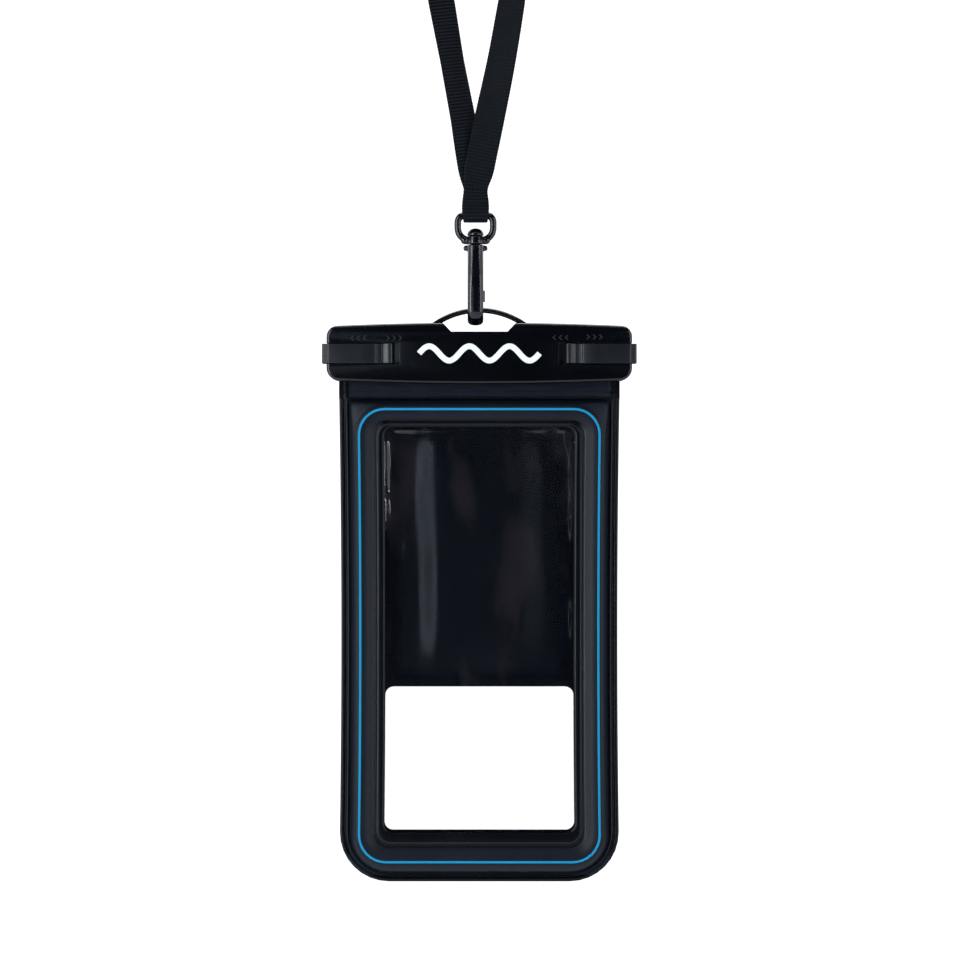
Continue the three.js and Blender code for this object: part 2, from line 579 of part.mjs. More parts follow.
function rearBarGeometry() {
  const deep = CLIP_HALF_DEPTH * 2;
  const lipFront = -filmHalf;
  const lip = block([-ARCH_REACH - 6, lipFront, MOUTH_TOP_Z + GAP],
    [ARCH_REACH + 6, clipFaceY + 1, CLIP_TOP_Z + CLIP_CROWN * 0.6]);
  const groove = block([-sealHalf, 0, SEAL_Z - SEAL_HEIGHT / 2 - GAP],
    [sealHalf, clipFaceY + SEAL_DEPTH + GAP, SEAL_Z + SEAL_HEIGHT / 2 + GAP]);
  const holes = [1, -1].map((side) => rodZ(LEVER_PIN_RADIUS + GAP, LEVER_Z - LEVER_HEIGHT / 2 - LEVER_PIN_SEAT - GAP,
    LEVER_Z + LEVER_HEIGHT / 2 + LEVER_PIN_SEAT + GAP, side * LEVER_PIVOT_X, LEVER_PIVOT_Y));
  const body = cut(join(barBlank(1), lip), dipCut(), groove, ...leverSlots(bossX, -deep, deep), ...holes);
  return join(body, archGeometry());
}

// Levers: drawn about the pivot for the right side, and mirrored for the left

function leverShape(mirror) {
  const inner = -LEVER_PIVOT_Y - armBackY;
  const outer = inner - LEVER_ARM;
  const ridge = outer - LEVER_RIDGE;
  const tip = LEVER_TIP_X - LEVER_PIVOT_X;
  const ridgeEnd = LEVER_RIDGE_X - LEVER_PIVOT_X;
  const dipEnd = LEVER_DIP_X - LEVER_PIVOT_X;
  const end = LEVER_END_X - LEVER_PIVOT_X;
  const endInner = end - LEVER_END_THICKNESS;
  const boss = span(9).map((step) => {
    const angle = THREE.MathUtils.degToRad(-30 - 30 * step);
    return [LEVER_BOSS_RADIUS * Math.cos(angle), LEVER_BOSS_RADIUS * Math.sin(angle)];
  });
  const points = [
    [tip, inner], [endInner - 0.8, inner], [endInner, inner + 0.8], [endInner, -2.6], ...boss,
    [end - 1.2, LEVER_BOSS_RADIUS * 0.7], [end, LEVER_BOSS_RADIUS * 0.25], [end, outer + 1.8],
    [end - 0.5, outer + 0.9], [endInner + 0.1, outer + 0.4], [endInner - 0.1, outer], [dipEnd, outer],
    [dipEnd - 0.6, outer + 0.4], [ridgeEnd + 0.5, outer + 0.4], [ridgeEnd, ridge + 0.3], [ridgeEnd - 0.7, ridge],
    [tip + 0.6, ridge], [tip, ridge + 0.5],
  ].map(([x, y]) => [x * mirror, y]);
  const shape = polygon(mirror > 0 ? points.reverse() : points);
  const hole = new THREE.Path();
  hole.absarc(0, 0, LEVER_PIN_RADIUS + GAP, 0, 2 * Math.PI, true);
  shape.holes.push(hole);
  return shape;
}

function leverGeometry(mirror) {
  return new THREE.ExtrudeGeometry(leverShape(mirror), { depth: LEVER_HEIGHT, bevelEnabled: false, curveSegments: 10 })
    .translate(0, 0, -LEVER_HEIGHT / 2);
}

// Pouch panels

// Points around one outline at a depth, pulled in a little halfway down its sides
function outlineRing(outline, depth) {
  const { half, top: upper, bottom: lower } = OUTLINE.outer;
  return roundedRectangle(outline, CORNER_STEPS, SIDE_STEPS).map(({ x, z }) => {
    const level = THREE.MathUtils.clamp((2 * z - upper - lower) / (upper - lower), -1, 1);
    return v3(x * (1 - WAIST * (1 - level * level) / half), depth, z);
  });
}

// An outline moved in from another by the same distance all round
function inset(outline, distance) {
  return {
    half: outline.half - distance,
    top: outline.top - distance,
    bottom: outline.bottom + distance,
    topRadius: Math.max(outline.topRadius - distance, 0.6),
    bottomRadius: Math.max(outline.bottomRadius - distance, 0.6),
  };
}

// The puffed tube, the groove and the ridge of one panel, on the front (-1) or rear (1)
function frameGeometry(side) {
  const { outer, weld, line, groove, window } = OUTLINE;
  const lipBack = POCKET_HALF_DEPTH + WINDOW_FILM + GAP;
  const back = FILM_SPLIT / 2;
  const pocket = inset(groove, -0.9);
  const rings = [
    [outer, back], [outer, back + LIP], [weld, 0.9], [inset(weld, 0.9), PUFF * 0.48],
    [inset(line, -1.9), PUFF * 0.86], [inset(line, -0.8), PUFF], [inset(line, 0.8), PUFF],
    [inset(line, 2.6), PUFF * 0.93], [inset(line, 4.5), PUFF * 0.77], [groove, GROOVE_DEPTH + LIP * 0.8],
    [inset(groove, 0.9), RIDGE], [inset(window, -0.8), RIDGE], [window, RIDGE - LIP], [window, lipBack],
    [pocket, lipBack], [pocket, back],
  ];
  const tube = loft(rings.map(([outline, depth]) => outlineRing(outline, side * depth)), true);
  const neckDepth = [side * back, side * filmHalf].sort((a, b) => a - b);
  const neck = block([-outer.half, neckDepth[0], outer.top - NECK_LAP], [outer.half, neckDepth[1], MOUTH_TOP_Z]);
  return join(tube, neck);
}

function sheetGeometry(outline, y0, y1, opening) {
  const ring = (o, depth) => outlineRing(o, depth);
  if (!opening) return loft([ring(outline, y0), ring(outline, y1)]);
  return loft([ring(outline, y0), ring(outline, y1), ring(opening, y1), ring(opening, y0)], true);
}

function blueLineGeometry() {
  const edges = [inset(OUTLINE.line, -LINE_WIDTH / 2), inset(OUTLINE.line, LINE_WIDTH / 2)];
  const near = -PUFF - PRINT_GAP;
  const far = near - LINE_THICKNESS;
  return loft([[0, near], [0, far], [1, far], [1, near]].map(([edge, depth]) => outlineRing(edges[edge], depth)), true);
}

function emblemGeometry() {
  const rise = (EMBLEM_HEIGHT - EMBLEM_STROKE) / 2;
  const steps = EMBLEM_WAVES * 10;
  const wave = (step, edge) => {
    const share = step / steps;
    const x = EMBLEM_LENGTH * (share - 0.5);
    const phase = 2 * Math.PI * EMBLEM_WAVES * share;
    const slope = rise * 2 * Math.PI * EMBLEM_WAVES / EMBLEM_LENGTH * Math.cos(phase);
    const normal = new THREE.Vector2(-slope, 1).normalize();
    return [x + edge * normal.x, rise * Math.sin(phase) + edge * normal.y];
  };
  const upper = span(steps + 1).map((step) => wave(step, EMBLEM_STROKE / 2));
  const lower = span(steps + 1).map((step) => wave(step, -EMBLEM_STROKE / 2)).reverse();
  const front = -CLIP_HALF_DEPTH - PRINT_GAP;
  return slabAlongY(polygon([...lower.reverse(), ...upper.reverse()]), front - EMBLEM_THICKNESS, front);
}

// Assembly

const object = new THREE.Group();

const lanyard = new THREE.Group();
object.add(lanyard);
node(lanyard, 'neck_strap', strapGeometry(), webbing);
node(lanyard, 'swivel_eye', eyeGeometry(), hardware);

const hook = new THREE.Group();
object.add(hook);
node(hook, 'hook_body', hookGeometry(), hardware);
node(hook, 'hook_gate', gateGeometry(), hardware);
node(hook, 'gate_pin', rodX(GATE_PIN_RADIUS, -GATE_WIDTH / 2, GATE_WIDTH / 2, GATE_PIVOT_Y, gatePivotZ, 12), hardware);
node(hook, 'gate_spring', gateSpringGeometry(), springSteel);

const pouch = new THREE.Group();
pouch.position.set(POUCH_X, POUCH_Y, 0);
object.add(pouch);
node(pouch, 'rear_clip_bar', rearBarGeometry(), clipPlastic);
node(pouch, 'front_clip_bar', frontBarGeometry(), clipPlastic);
const seal = block([-sealHalf + GAP, clipFaceY, SEAL_Z - SEAL_HEIGHT / 2],
  [sealHalf - GAP, clipFaceY + SEAL_DEPTH, SEAL_Z + SEAL_HEIGHT / 2]);
node(pouch, 'seal_strip', seal, sealRubber);
const emblem = node(pouch, 'wave_emblem', emblemGeometry(), printWhite);
emblem.position.z = LEVER_Z;

for (const [name, mirror] of [['left', -1], ['right', 1]]) {
  const lever = node(pouch, `${name}_lever`, leverGeometry(mirror), leverPlastic);
  lever.position.set(mirror * LEVER_PIVOT_X, LEVER_PIVOT_Y, LEVER_Z);
  const pinReach = LEVER_HEIGHT / 2 + LEVER_PIN_SEAT;
  const pin = node(pouch, `${name}_lever_pin`, rodZ(LEVER_PIN_RADIUS, -pinReach, pinReach, 0, 0, 16), springSteel);
  pin.position.set(mirror * LEVER_PIVOT_X, LEVER_PIVOT_Y, LEVER_Z);
}

const filmEdge = inset(OUTLINE.groove, -0.9 + GAP);
node(pouch, 'front_frame', frameGeometry(-1), panelVinyl);
node(pouch, 'blue_line', blueLineGeometry(), lineBlue);
node(pouch, 'front_window', sheetGeometry(filmEdge, -POCKET_HALF_DEPTH - WINDOW_FILM, -POCKET_HALF_DEPTH), clearFilm);
node(pouch, 'rear_frame', frameGeometry(1), panelVinyl);
node(pouch, 'rear_sheet',
  sheetGeometry(filmEdge, POCKET_HALF_DEPTH, POCKET_HALF_DEPTH + WINDOW_FILM, CAMERA_WINDOW), sheetVinyl);
const cameraFilmY = POCKET_HALF_DEPTH - GAP;
node(pouch, 'camera_window',
  sheetGeometry(inset(CAMERA_WINDOW, -CAMERA_FILM_MARGIN), cameraFilmY - WINDOW_FILM, cameraFilmY), clearFilm);

export default object;
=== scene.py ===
"""Looks of a floating waterproof phone pouch that hangs from a ribbon neck strap by a swivel hook."""
import logging
import math
from collections.abc import Callable, Iterator, Sequence
from contextlib import contextmanager
from dataclasses import dataclass, field
from enum import Enum, IntEnum
from typing import Any

import bmesh
import bpy
from mathutils import Matrix, Vector, noise


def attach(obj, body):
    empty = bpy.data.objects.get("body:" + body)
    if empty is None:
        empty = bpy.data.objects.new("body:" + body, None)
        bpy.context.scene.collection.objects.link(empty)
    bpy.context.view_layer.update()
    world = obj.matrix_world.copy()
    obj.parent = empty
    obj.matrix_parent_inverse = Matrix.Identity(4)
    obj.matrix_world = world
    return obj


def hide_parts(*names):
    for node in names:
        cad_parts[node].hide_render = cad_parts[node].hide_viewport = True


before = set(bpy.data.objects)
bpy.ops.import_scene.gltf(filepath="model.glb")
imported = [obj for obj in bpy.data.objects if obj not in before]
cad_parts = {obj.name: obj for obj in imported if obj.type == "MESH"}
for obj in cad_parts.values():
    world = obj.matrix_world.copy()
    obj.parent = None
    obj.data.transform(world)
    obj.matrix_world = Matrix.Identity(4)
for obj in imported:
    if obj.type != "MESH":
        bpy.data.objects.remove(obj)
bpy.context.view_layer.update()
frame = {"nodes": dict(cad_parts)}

LOG = logging.getLogger("phone_pouch")

Colour = tuple[float, float, float]
Piece = bpy.types.Object
Point = tuple[float, float]
Points = tuple[Point, ...]
Ring = list[Vector]
Rows = tuple[tuple[float, ...], ...]

MM = 0.001
SAME_POINT = 0.0005 * MM
AXIS_X = Vector((1.0, 0.0, 0.0))
AXIS_Y = Vector((0.0, 1.0, 0.0))
AXIS_Z = Vector((0.0, 0.0, 1.0))
MIDDLE = Vector((0.0, 0.0, 0.0))
POUCH_PLACE = Vector((1.5, -0.25, 0.0))


# Shader maths


@dataclass(frozen=True)
class Signal:
    """A node socket that takes part in shader sums.

    Args:
        tree: The node tree that the socket belongs to.
        socket: The output socket.
    """

    tree: bpy.types.NodeTree
    socket: bpy.types.NodeSocket

    def _sum(self, operation: str, first: "Signal | float", second: "Signal | float") -> "Signal":
        """Adds a Math node and returns its value.

        Args:
            operation: The sum.
            first: Its first operand.
            second: Its second operand.

        Returns:
            The node's value.
        """
        node = self.tree.nodes.new("ShaderNodeMath")
        node.operation = operation
        for slot, operand in enumerate((first, second)):
            if isinstance(operand, Signal):
                self.tree.links.new(operand.socket, node.inputs[slot])
            else:
                node.inputs[slot].default_value = operand
        return Signal(self.tree, node.outputs[0])

    def __add__(self, other: "Signal | float") -> "Signal":
        """Returns the sum."""
        return self._sum("ADD", self, other)

    __radd__ = __add__

    def __sub__(self, other: "Signal | float") -> "Signal":
        """Returns the difference."""
        return self._sum("SUBTRACT", self, other)

    def __rsub__(self, other: float) -> "Signal":
        """Returns a number less this value."""
        return self._sum("SUBTRACT", other, self)

    def __mul__(self, other: "Signal | float") -> "Signal":
        """Returns the product."""
        return self._sum("MULTIPLY", self, other)

    def sine(self) -> "Signal":
        """Returns the sine of this value."""
        return self._sum("SINE", self, 0.0)

    def size(self) -> "Signal":
        """Returns the value without its sign."""
        return self._sum("ABSOLUTE", self, 0.0)

    def root(self) -> "Signal":
        """Returns the square root of this value."""
        return self._sum("SQRT", self, 0.0)

    def above(self, limit: float) -> "Signal":
        """Returns 1 where this value is above a limit and 0 elsewhere."""
        return self._sum("GREATER_THAN", self, limit)


class Nodes:
    """A node tree that any node is added to by one method."""

    def __init__(self, tree: bpy.types.NodeTree, shader: str) -> None:
        """Takes up a tree.

        Args:
            tree: The node tree.
            shader: The type of the shader in it that is dressed.
        """
        self.tree = tree
        self.shader = next(node for node in tree.nodes if node.type == shader)

    def add(self, kind: str, settings: dict[str, Any] | None = None, values: dict[str, Any] | None = None,
            output: int | str = 0) -> Signal:
        """Adds one node.

        Args:
            kind: The node's type.
            settings: Its own properties, set first; the key stops holds a ramp's places and colours.
            values: What goes into its sockets: numbers, colours or signals.
            output: The output that is wanted.

        Returns:
            That output.
        """
        node = self.tree.nodes.new(kind)
        for key, value in (settings or {}).items():
            if key == "stops":
                self._set_stops(node, value)
            else:
                setattr(node, key, value)
        for key, value in (values or {}).items():
            self._feed(node.inputs[key], value)
        return Signal(self.tree, node.outputs[output])

    @staticmethod
    def _set_stops(node: bpy.types.Node, stops: Sequence[tuple[float, Colour]]) -> None:
        """Sets a colour ramp's places and colours.

        Args:
            node: The ramp.
            stops: The places, each with its colour.
        """
        elements = node.color_ramp.elements
        while len(elements) < len(stops):
            elements.new(0.5)
        for element, (place, colour) in zip(elements, stops):
            element.position = place
            element.color = (*colour, 1.0)

    def _feed(self, socket: bpy.types.NodeSocket, value: Any) -> None:
        """Links a signal to a socket, or sets the socket.

        Args:
            socket: The input socket.
            value: What goes into it.
        """
        if isinstance(value, Signal):
            self.tree.links.new(value.socket, socket)
        elif isinstance(value, tuple) and len(value) == 3 and socket.type == "RGBA":
            socket.default_value = (*value, 1.0)
        else:
            socket.default_value = value

    def blend(self, mask: Signal, low: Colour | Signal, high: Colour | Signal) -> Signal:
        """Returns one colour where the mask is 0 and the other where it is 1."""
        return self.add("ShaderNodeMix", {"data_type": "RGBA"}, {0: mask, 6: low, 7: high}, output=2)

    def dress(self, **sockets: Any) -> None:
        """Feeds the shader's sockets, whose names have underscores for spaces."""
        for key, value in sockets.items():
            self._feed(self.shader.inputs[key.replace("_", " ")], value)


class Recipe(Nodes):
    """The node tree of one finish, around one Principled shader."""

    def __init__(self, name: str) -> None:
        """Starts an empty finish.

        Args:
            name: The name of the material.
        """
        self.material = bpy.data.materials.new(name)
        self.material.use_nodes = True
        super().__init__(self.material.node_tree, "BSDF_PRINCIPLED")

    def place(self, scale: Vector | float = 1.0, flat: bool = False) -> Signal:
        """Returns the point on the piece, in metres times a scale, or its flat coordinates on a ribbon.

        Args:
            scale: The scale, or one for each axis.
            flat: Whether the flat coordinates are wanted.

        Returns:
            The point.
        """
        point = self.add("ShaderNodeTexCoord", output="UV" if flat else "Object")
        factor = scale if isinstance(scale, Vector) else Vector((scale,) * 3)
        return self.add("ShaderNodeVectorMath", {"operation": "MULTIPLY"}, {0: point, 1: factor})

    def axis(self, number: int, flat: bool = False) -> Signal:
        """Returns one coordinate of that point: 0 for X, 1 for Y or 2 for Z."""
        return self.add("ShaderNodeSeparateXYZ", values={0: self.place(flat=flat)}, output=number)

    def ramp(self, value: Signal, low: float, high: float) -> Signal:
        """Returns a smooth step from 0 at one value to 1 at the other."""
        ends = {"Value": value, "From Min": low, "From Max": high}
        return self.add("ShaderNodeMapRange", {"interpolation_type": "SMOOTHSTEP"}, ends)

    def cloud(self, scale: Vector | float, detail: float = 3.0) -> Signal:
        """Returns soft noise from 0 to 1 at a scale given in cycles a metre."""
        values = {"Vector": self.place(scale), "Scale": 1.0, "Detail": detail}
        return self.add("ShaderNodeTexNoise", values=values)

    def bump(self, height: Signal, depth: float) -> Signal:
        """Returns a normal that is bent by a height from 0 to 1 times a depth in metres."""
        return self.add("ShaderNodeBump", values={"Height": height, "Distance": depth, "Strength": 1.0})

    def surface(self, **sockets: Any) -> bpy.types.Material:
        """Dresses the shader and returns the material."""
        self.dress(**sockets)
        return self.material


# Finishes


@dataclass(frozen=True)
class MouldedPlastic:
    """Moulded or coated black parts with a fine skin.

    Args:
        name: The finish's name.
        base: The colour in its hollows.
        lift: The colour where handling has lightened it.
        roughness: The mean roughness.
        spread: How far the roughness wanders.
        grain: Depth of the skin's grain in metres.
        coat: Weight of a clear top coat.
    """

    name: str
    base: Colour
    lift: Colour
    roughness: float
    spread: float = 0.06
    grain: float = 0.00001
    coat: float = 0.0

    def material(self) -> bpy.types.Material:
        """Builds the finish.

        Returns:
            The material.
        """
        recipe = Recipe(self.name)
        smear = recipe.cloud(90.0, 4.0)
        pores = recipe.cloud(3200.0, 2.0)
        waves = recipe.cloud(160.0, 1.0)
        return recipe.surface(
            Base_Color=recipe.blend(smear, self.base, self.lift),
            Roughness=self.roughness - self.spread / 2 + smear * self.spread,
            Normal=recipe.bump(pores + waves * 6.0, self.grain),
            Coat_Weight=self.coat,
            Coat_Roughness=0.08,
        )


@dataclass(frozen=True)
class PuffedVinyl:
    """Satin vinyl of the pouch's panels, with a faint leathery skin, long soft creases, and some painted
    shade and highlight.

    Args:
        name: The finish's name.
        base: The colour in its hollows.
        lift: The colour where handling has lightened it.
        pressed_and_shade: Colour of the pressed rim and weld, and painted shade in the groove and the fold
            below the clip.
        ridge_highlight: A lighter colour on the thin ridge in that weld: a painted highlight.
        roughness: The mean roughness.
        frame: The weld's half width, middle level, half height and corner radius, in metres.
        weld_reach: How far the weld goes out past that outline.
        ridge_inset: How far inside it the ridge runs.
        ridge_half: Half the ridge's width.
        rim: The half width and the lowest level that the rim begins at.
        fold_shade: The level of the painted shade band in the fold, and half its height.
    """

    name: str = "panel_vinyl"
    base: Colour = (0.0046, 0.0068, 0.0124)
    lift: Colour = (0.0070, 0.0100, 0.0176)
    pressed_and_shade: Colour = (0.0018, 0.0025, 0.0042)
    ridge_highlight: Colour = (0.0190, 0.0220, 0.0280)
    roughness: float = 0.42
    frame: tuple[float, ...] = (0.041, -0.2839, 0.0831, 0.0065)
    weld_reach: float = 0.0005
    ridge_inset: float = 0.0017
    ridge_half: float = 0.00022
    rim: Point = (0.0508, -0.3781)
    fold_shade: Point = (-0.1926, 0.0008)

    def material(self) -> bpy.types.Material:
        """Builds the finish.

        Returns:
            The material.
        """
        recipe = Recipe(self.name)
        smear = recipe.cloud(Vector((70.0, 70.0, 22.0)), 4.0)
        skin = recipe.add("ShaderNodeTexVoronoi", values={"Vector": recipe.place(1900.0), "Scale": 1.0})
        folds = recipe.cloud(Vector((420.0, 420.0, 60.0)), 3.0)
        across = (recipe.axis(0) - POUCH_PLACE.x * MM).size()
        upright = recipe.axis(2)
        half, middle, reach, radius = self.frame
        beside = across - (half - radius)
        beyond = (upright - middle).size() - (reach - radius)
        beside = (beside + beside.size()) * 0.5
        beyond = (beyond + beyond.size()) * 0.5
        outside = (beside * beside + beyond * beyond).root() - radius
        weld = 1.0 - outside.above(self.weld_reach)
        ridge = 1.0 - (outside + self.ridge_inset).size().above(self.ridge_half)
        # A band of painted shade in the fold below the clip.
        fold_shade = 1.0 - (upright - self.fold_shade[0]).size().above(self.fold_shade[1])
        edge = across.above(self.rim[0]) + (0.0 - upright).above(-self.rim[1])
        # The darker colour lies on the pressed rim and weld, and stands for painted shade in the groove
        # and the fold.
        pressed_and_shade = (edge + fold_shade + weld).above(0.5)
        panel = recipe.blend(pressed_and_shade, recipe.blend(smear, self.base, self.lift), self.pressed_and_shade)
        return recipe.surface(
            # The thin ridge is lighter: a painted highlight.
            Base_Color=recipe.blend(ridge, panel, self.ridge_highlight),
            Roughness=self.roughness - 0.05 + smear * 0.14 - pressed_and_shade * 0.18,
            Normal=recipe.bump(skin * 0.3 + folds, 0.00006),
            Specular_IOR_Level=0.2,
        )


@dataclass(frozen=True)
class GlossSheet:
    """The glossy dark sheet behind the upper window.

    Args:
        name: The finish's name.
        base: Its colour.
        lift: The colour of the patches where the film clings to it.
        fade: The levels, in metres, where the patches have gone and where they are whole.
    """

    name: str = "sheet_vinyl"
    base: Colour = (0.0012, 0.0024, 0.0078)
    lift: Colour = (0.0340, 0.0250, 0.0330)
    fade: Point = (-0.3, -0.25)

    def material(self) -> bpy.types.Material:
        """Builds the finish.

        Returns:
            The material.
        """
        recipe = Recipe(self.name)
        smear = recipe.cloud(Vector((45.0, 45.0, 18.0)), 3.0)
        patches = smear - (1.0 - recipe.ramp(recipe.axis(2), *self.fade)) * 0.1
        stops = [(0.5, self.base), (0.62, self.lift)]
        return recipe.surface(
            Base_Color=recipe.add("ShaderNodeValToRGB", {"stops": stops}, {0: patches}),
            Roughness=0.16 + smear * 0.14,
            Normal=recipe.bump(recipe.cloud(Vector((120.0, 120.0, 40.0)), 2.0), 0.00012),
            Specular_IOR_Level=0.3,
        )


@dataclass(frozen=True)
class ClearFilm:
    """Flexible clear film, nearly colourless, with faint waves and a scuffed middle.

    Args:
        name: The finish's name.
        tint: Its colour.
        scuff_x: The half widths, in metres, where the scuffed middle ends and where it is whole.
        scuff_z: The levels of the same at its foot.
    """

    name: str = "clear_film"
    tint: Colour = (0.985, 0.99, 1.0)
    scuff_x: Point = (0.034, 0.028)
    scuff_z: Point = (-0.304, -0.296)

    def material(self) -> bpy.types.Material:
        """Builds the finish.

        Returns:
            The material.
        """
        recipe = Recipe(self.name)
        waves = recipe.cloud(Vector((60.0, 60.0, 22.0)), 2.0)
        across = (recipe.axis(0) - POUCH_PLACE.x * MM).size()
        scuffed = recipe.ramp(across, *self.scuff_x) * recipe.ramp(recipe.axis(2), *self.scuff_z)
        return recipe.surface(
            Base_Color=self.tint,
            Roughness=0.03 + waves * 0.04 + scuffed * 0.09,
            IOR=1.46,
            Transmission_Weight=1.0,
            Normal=recipe.bump(waves, 0.0001),
        )


@dataclass(frozen=True)
class Ribbon:
    """Ribbed black ribbon, with a painted highlight on its cords and painted shade between them; its flat
    coordinates are metres across and along.

    Args:
        name: The finish's name.
        base: The colour between its cords, dark as painted shade.
        lift: The lighter, bluish colour on its cords: a painted highlight and sheen.
        rib: The pitch of the cords in metres.
        yarn: The pitch of the yarns across.
    """

    name: str = "webbing"
    base: Colour = (0.0003, 0.0004, 0.0008)
    lift: Colour = (0.0088, 0.0122, 0.0196)
    rib: float = 0.0013
    yarn: float = 0.00034

    def material(self) -> bpy.types.Material:
        """Builds the finish.

        Returns:
            The material.
        """
        recipe = Recipe(self.name)
        cords = (recipe.axis(1, flat=True) * (math.tau / self.rib)).sine() * 0.5 + 0.5
        yarn = (recipe.axis(0, flat=True) * (math.tau / self.yarn)).sine() * 0.5 + 0.5
        fuzz = recipe.cloud(2600.0, 3.0)
        smear = recipe.cloud(140.0, 2.0)
        return recipe.surface(
            # The cords' crests are lighter and bluer and the hollows darker: painted highlight and painted
            # shade.
            Base_Color=recipe.blend(cords * cords * 0.8 + smear * 0.2, self.base, self.lift),
            Roughness=0.46 + fuzz * 0.2,
            Normal=recipe.bump(yarn * 0.5 + fuzz, 0.00004),
            Specular_IOR_Level=0.1,
        )


@dataclass(frozen=True)
class Ink:
    """Printed colour, or thread, with a slightly uneven surface.

    Args:
        name: The finish's name.
        base: The darker colour of its speckle.
        lift: The lighter one.
        roughness: The least roughness.
    """

    name: str
    base: Colour
    lift: Colour
    roughness: float = 0.45

    def material(self) -> bpy.types.Material:
        """Builds the finish.

        Returns:
            The material.
        """
        recipe = Recipe(self.name)
        speckle = recipe.cloud(1500.0, 2.0)
        return recipe.surface(
            Base_Color=recipe.blend(speckle, self.base, self.lift),
            Roughness=self.roughness + speckle * 0.1,
            Normal=recipe.bump(speckle, 0.00001),
            Specular_IOR_Level=0.2,
        )


@dataclass(frozen=True)
class DrawnSteel:
    """Bright steel of the levers' pins and the spring, with fine draw lines.

    Args:
        name: The finish's name.
        base: The colour in its lines.
        lift: The colour between them.
    """

    name: str = "spring_steel"
    base: Colour = (0.34, 0.35, 0.37)
    lift: Colour = (0.52, 0.53, 0.55)

    def material(self) -> bpy.types.Material:
        """Builds the finish.

        Returns:
            The material.
        """
        recipe = Recipe(self.name)
        lines = recipe.cloud(Vector((5200.0, 5200.0, 300.0)), 2.0)
        return recipe.surface(
            Base_Color=recipe.blend(lines, self.base, self.lift),
            Metallic=1.0,
            Roughness=0.24 + lines * 0.2,
            Normal=recipe.bump(lines, 0.000006),
        )


class Finish(Enum):
    """The finishes by the record's material slots."""

    WEBBING = Ribbon()
    HARDWARE = MouldedPlastic(
        "hardware", (0.0008, 0.001, 0.0018), (0.0018, 0.0022, 0.0034), 0.17, 0.05, 0.000003, 0.2)
    SPRING_STEEL = DrawnSteel()
    CLIP_PLASTIC = MouldedPlastic(
        "clip_plastic", (0.0006, 0.0008, 0.0018), (0.0012, 0.0016, 0.003), 0.17, 0.05, 0.000006)
    LEVER_PLASTIC = MouldedPlastic(
        "lever_plastic", (0.0036, 0.0050, 0.0080), (0.0062, 0.0082, 0.0122), 0.34, 0.06, 0.00001)
    SEAL_RUBBER = MouldedPlastic(
        "seal_rubber", (0.012, 0.012, 0.013), (0.02, 0.02, 0.021), 0.75, 0.1, 0.00002)
    PANEL_VINYL = PuffedVinyl()
    SHEET_VINYL = GlossSheet()
    CLEAR_FILM = ClearFilm()
    BLUE_PRINT = Ink("blue_print", (0.004, 0.27, 0.52), (0.008, 0.31, 0.58))
    WHITE_PRINT = Ink("white_print", (0.94, 0.94, 0.94), (0.99, 0.99, 0.99))
    MARKS = Ink("lever_marks", (0.014, 0.015, 0.018), (0.034, 0.036, 0.042), 0.4)
    THREAD = Ink("thread", (0.004, 0.0045, 0.007), (0.012, 0.013, 0.018), 0.6)


# Mesh making, in millimetres until the piece is raised


class Along(Enum):
    """The axis that a flat drawing is made solid along."""

    X = "x"
    Y = "y"
    Z = "z"

    def point(self, first: float, second: float, depth: float) -> Vector:
        """Returns the point of a drawing at a depth along the axis.

        Args:
            first: The drawing's first coordinate.
            second: Its second one.
            depth: The depth.

        Returns:
            The point.
        """
        if self is Along.X:
            return Vector((depth, first, second))
        if self is Along.Y:
            return Vector((first, depth, second))
        return Vector((first, second, depth))


class Side(IntEnum):
    """Which way a part faces, as the sign of Y."""

    FRONT = -1
    REAR = 1


class Hand(IntEnum):
    """Which end of the clip a part is at, as the sign of X."""

    LEFT = -1
    RIGHT = 1


def stand(name: str, data: bpy.types.ID) -> Piece:
    """Makes an object of a mesh, a light or a camera and puts it in the scene.

    Args:
        name: Its name.
        data: Its mesh, light or camera.

    Returns:
        The object.
    """
    piece = bpy.data.objects.new(name, data)
    bpy.context.scene.collection.objects.link(piece)
    return piece


def discard(piece: Piece) -> None:
    """Throws an object away with its mesh.

    Args:
        piece: The object.
    """
    mesh = piece.data
    bpy.data.objects.remove(piece)
    bpy.data.meshes.remove(mesh)


@contextmanager
def opened(mesh: bpy.types.Mesh) -> Iterator[bmesh.types.BMesh]:
    """Opens a mesh for changes and writes them back to it.

    Args:
        mesh: The mesh.
    """
    form = bmesh.new()
    form.from_mesh(mesh)
    yield form
    form.to_mesh(mesh)
    form.free()


def raise_piece(name: str, points: Sequence[Vector], faces: Sequence[Sequence[int]]) -> Piece:
    """Makes an object of points in millimetres.

    Args:
        name: The piece's name.
        points: Its corners.
        faces: Its faces, as numbers of corners.

    Returns:
        The object, in metres, with its faces turned outward.
    """
    mesh = bpy.data.meshes.new(name)
    mesh.from_pydata([tuple(point * MM) for point in points], [], [tuple(face) for face in faces])
    with opened(mesh) as form:
        bmesh.ops.recalc_face_normals(form, faces=form.faces)
    return stand(name, mesh)


def shift(piece: Piece, place: Vector) -> Piece:
    """Moves a piece's mesh by a distance in millimetres."""
    piece.data.transform(Matrix.Translation(place * MM))
    return piece


def hang(piece: Piece) -> Piece:
    """Moves a piece's mesh from the pouch's own middle to its place beside the strap."""
    return shift(piece, POUCH_PLACE)


def zipped(count: int, first: int, middle: int) -> list[tuple[int, ...]]:
    """Returns faces that cap a ring by joining its two halves point by point.

    Args:
        count: Points in the ring.
        first: The number of its first point.
        middle: The place in the ring where the halves meet.

    Returns:
        The faces, as numbers of corners.
    """
    faces = []
    for step in range(count // 2):
        corners = (middle + step, middle + step + 1, middle - step - 1, middle - step)
        faces.append(tuple(dict.fromkeys(first + corner % count for corner in corners)))
    return faces


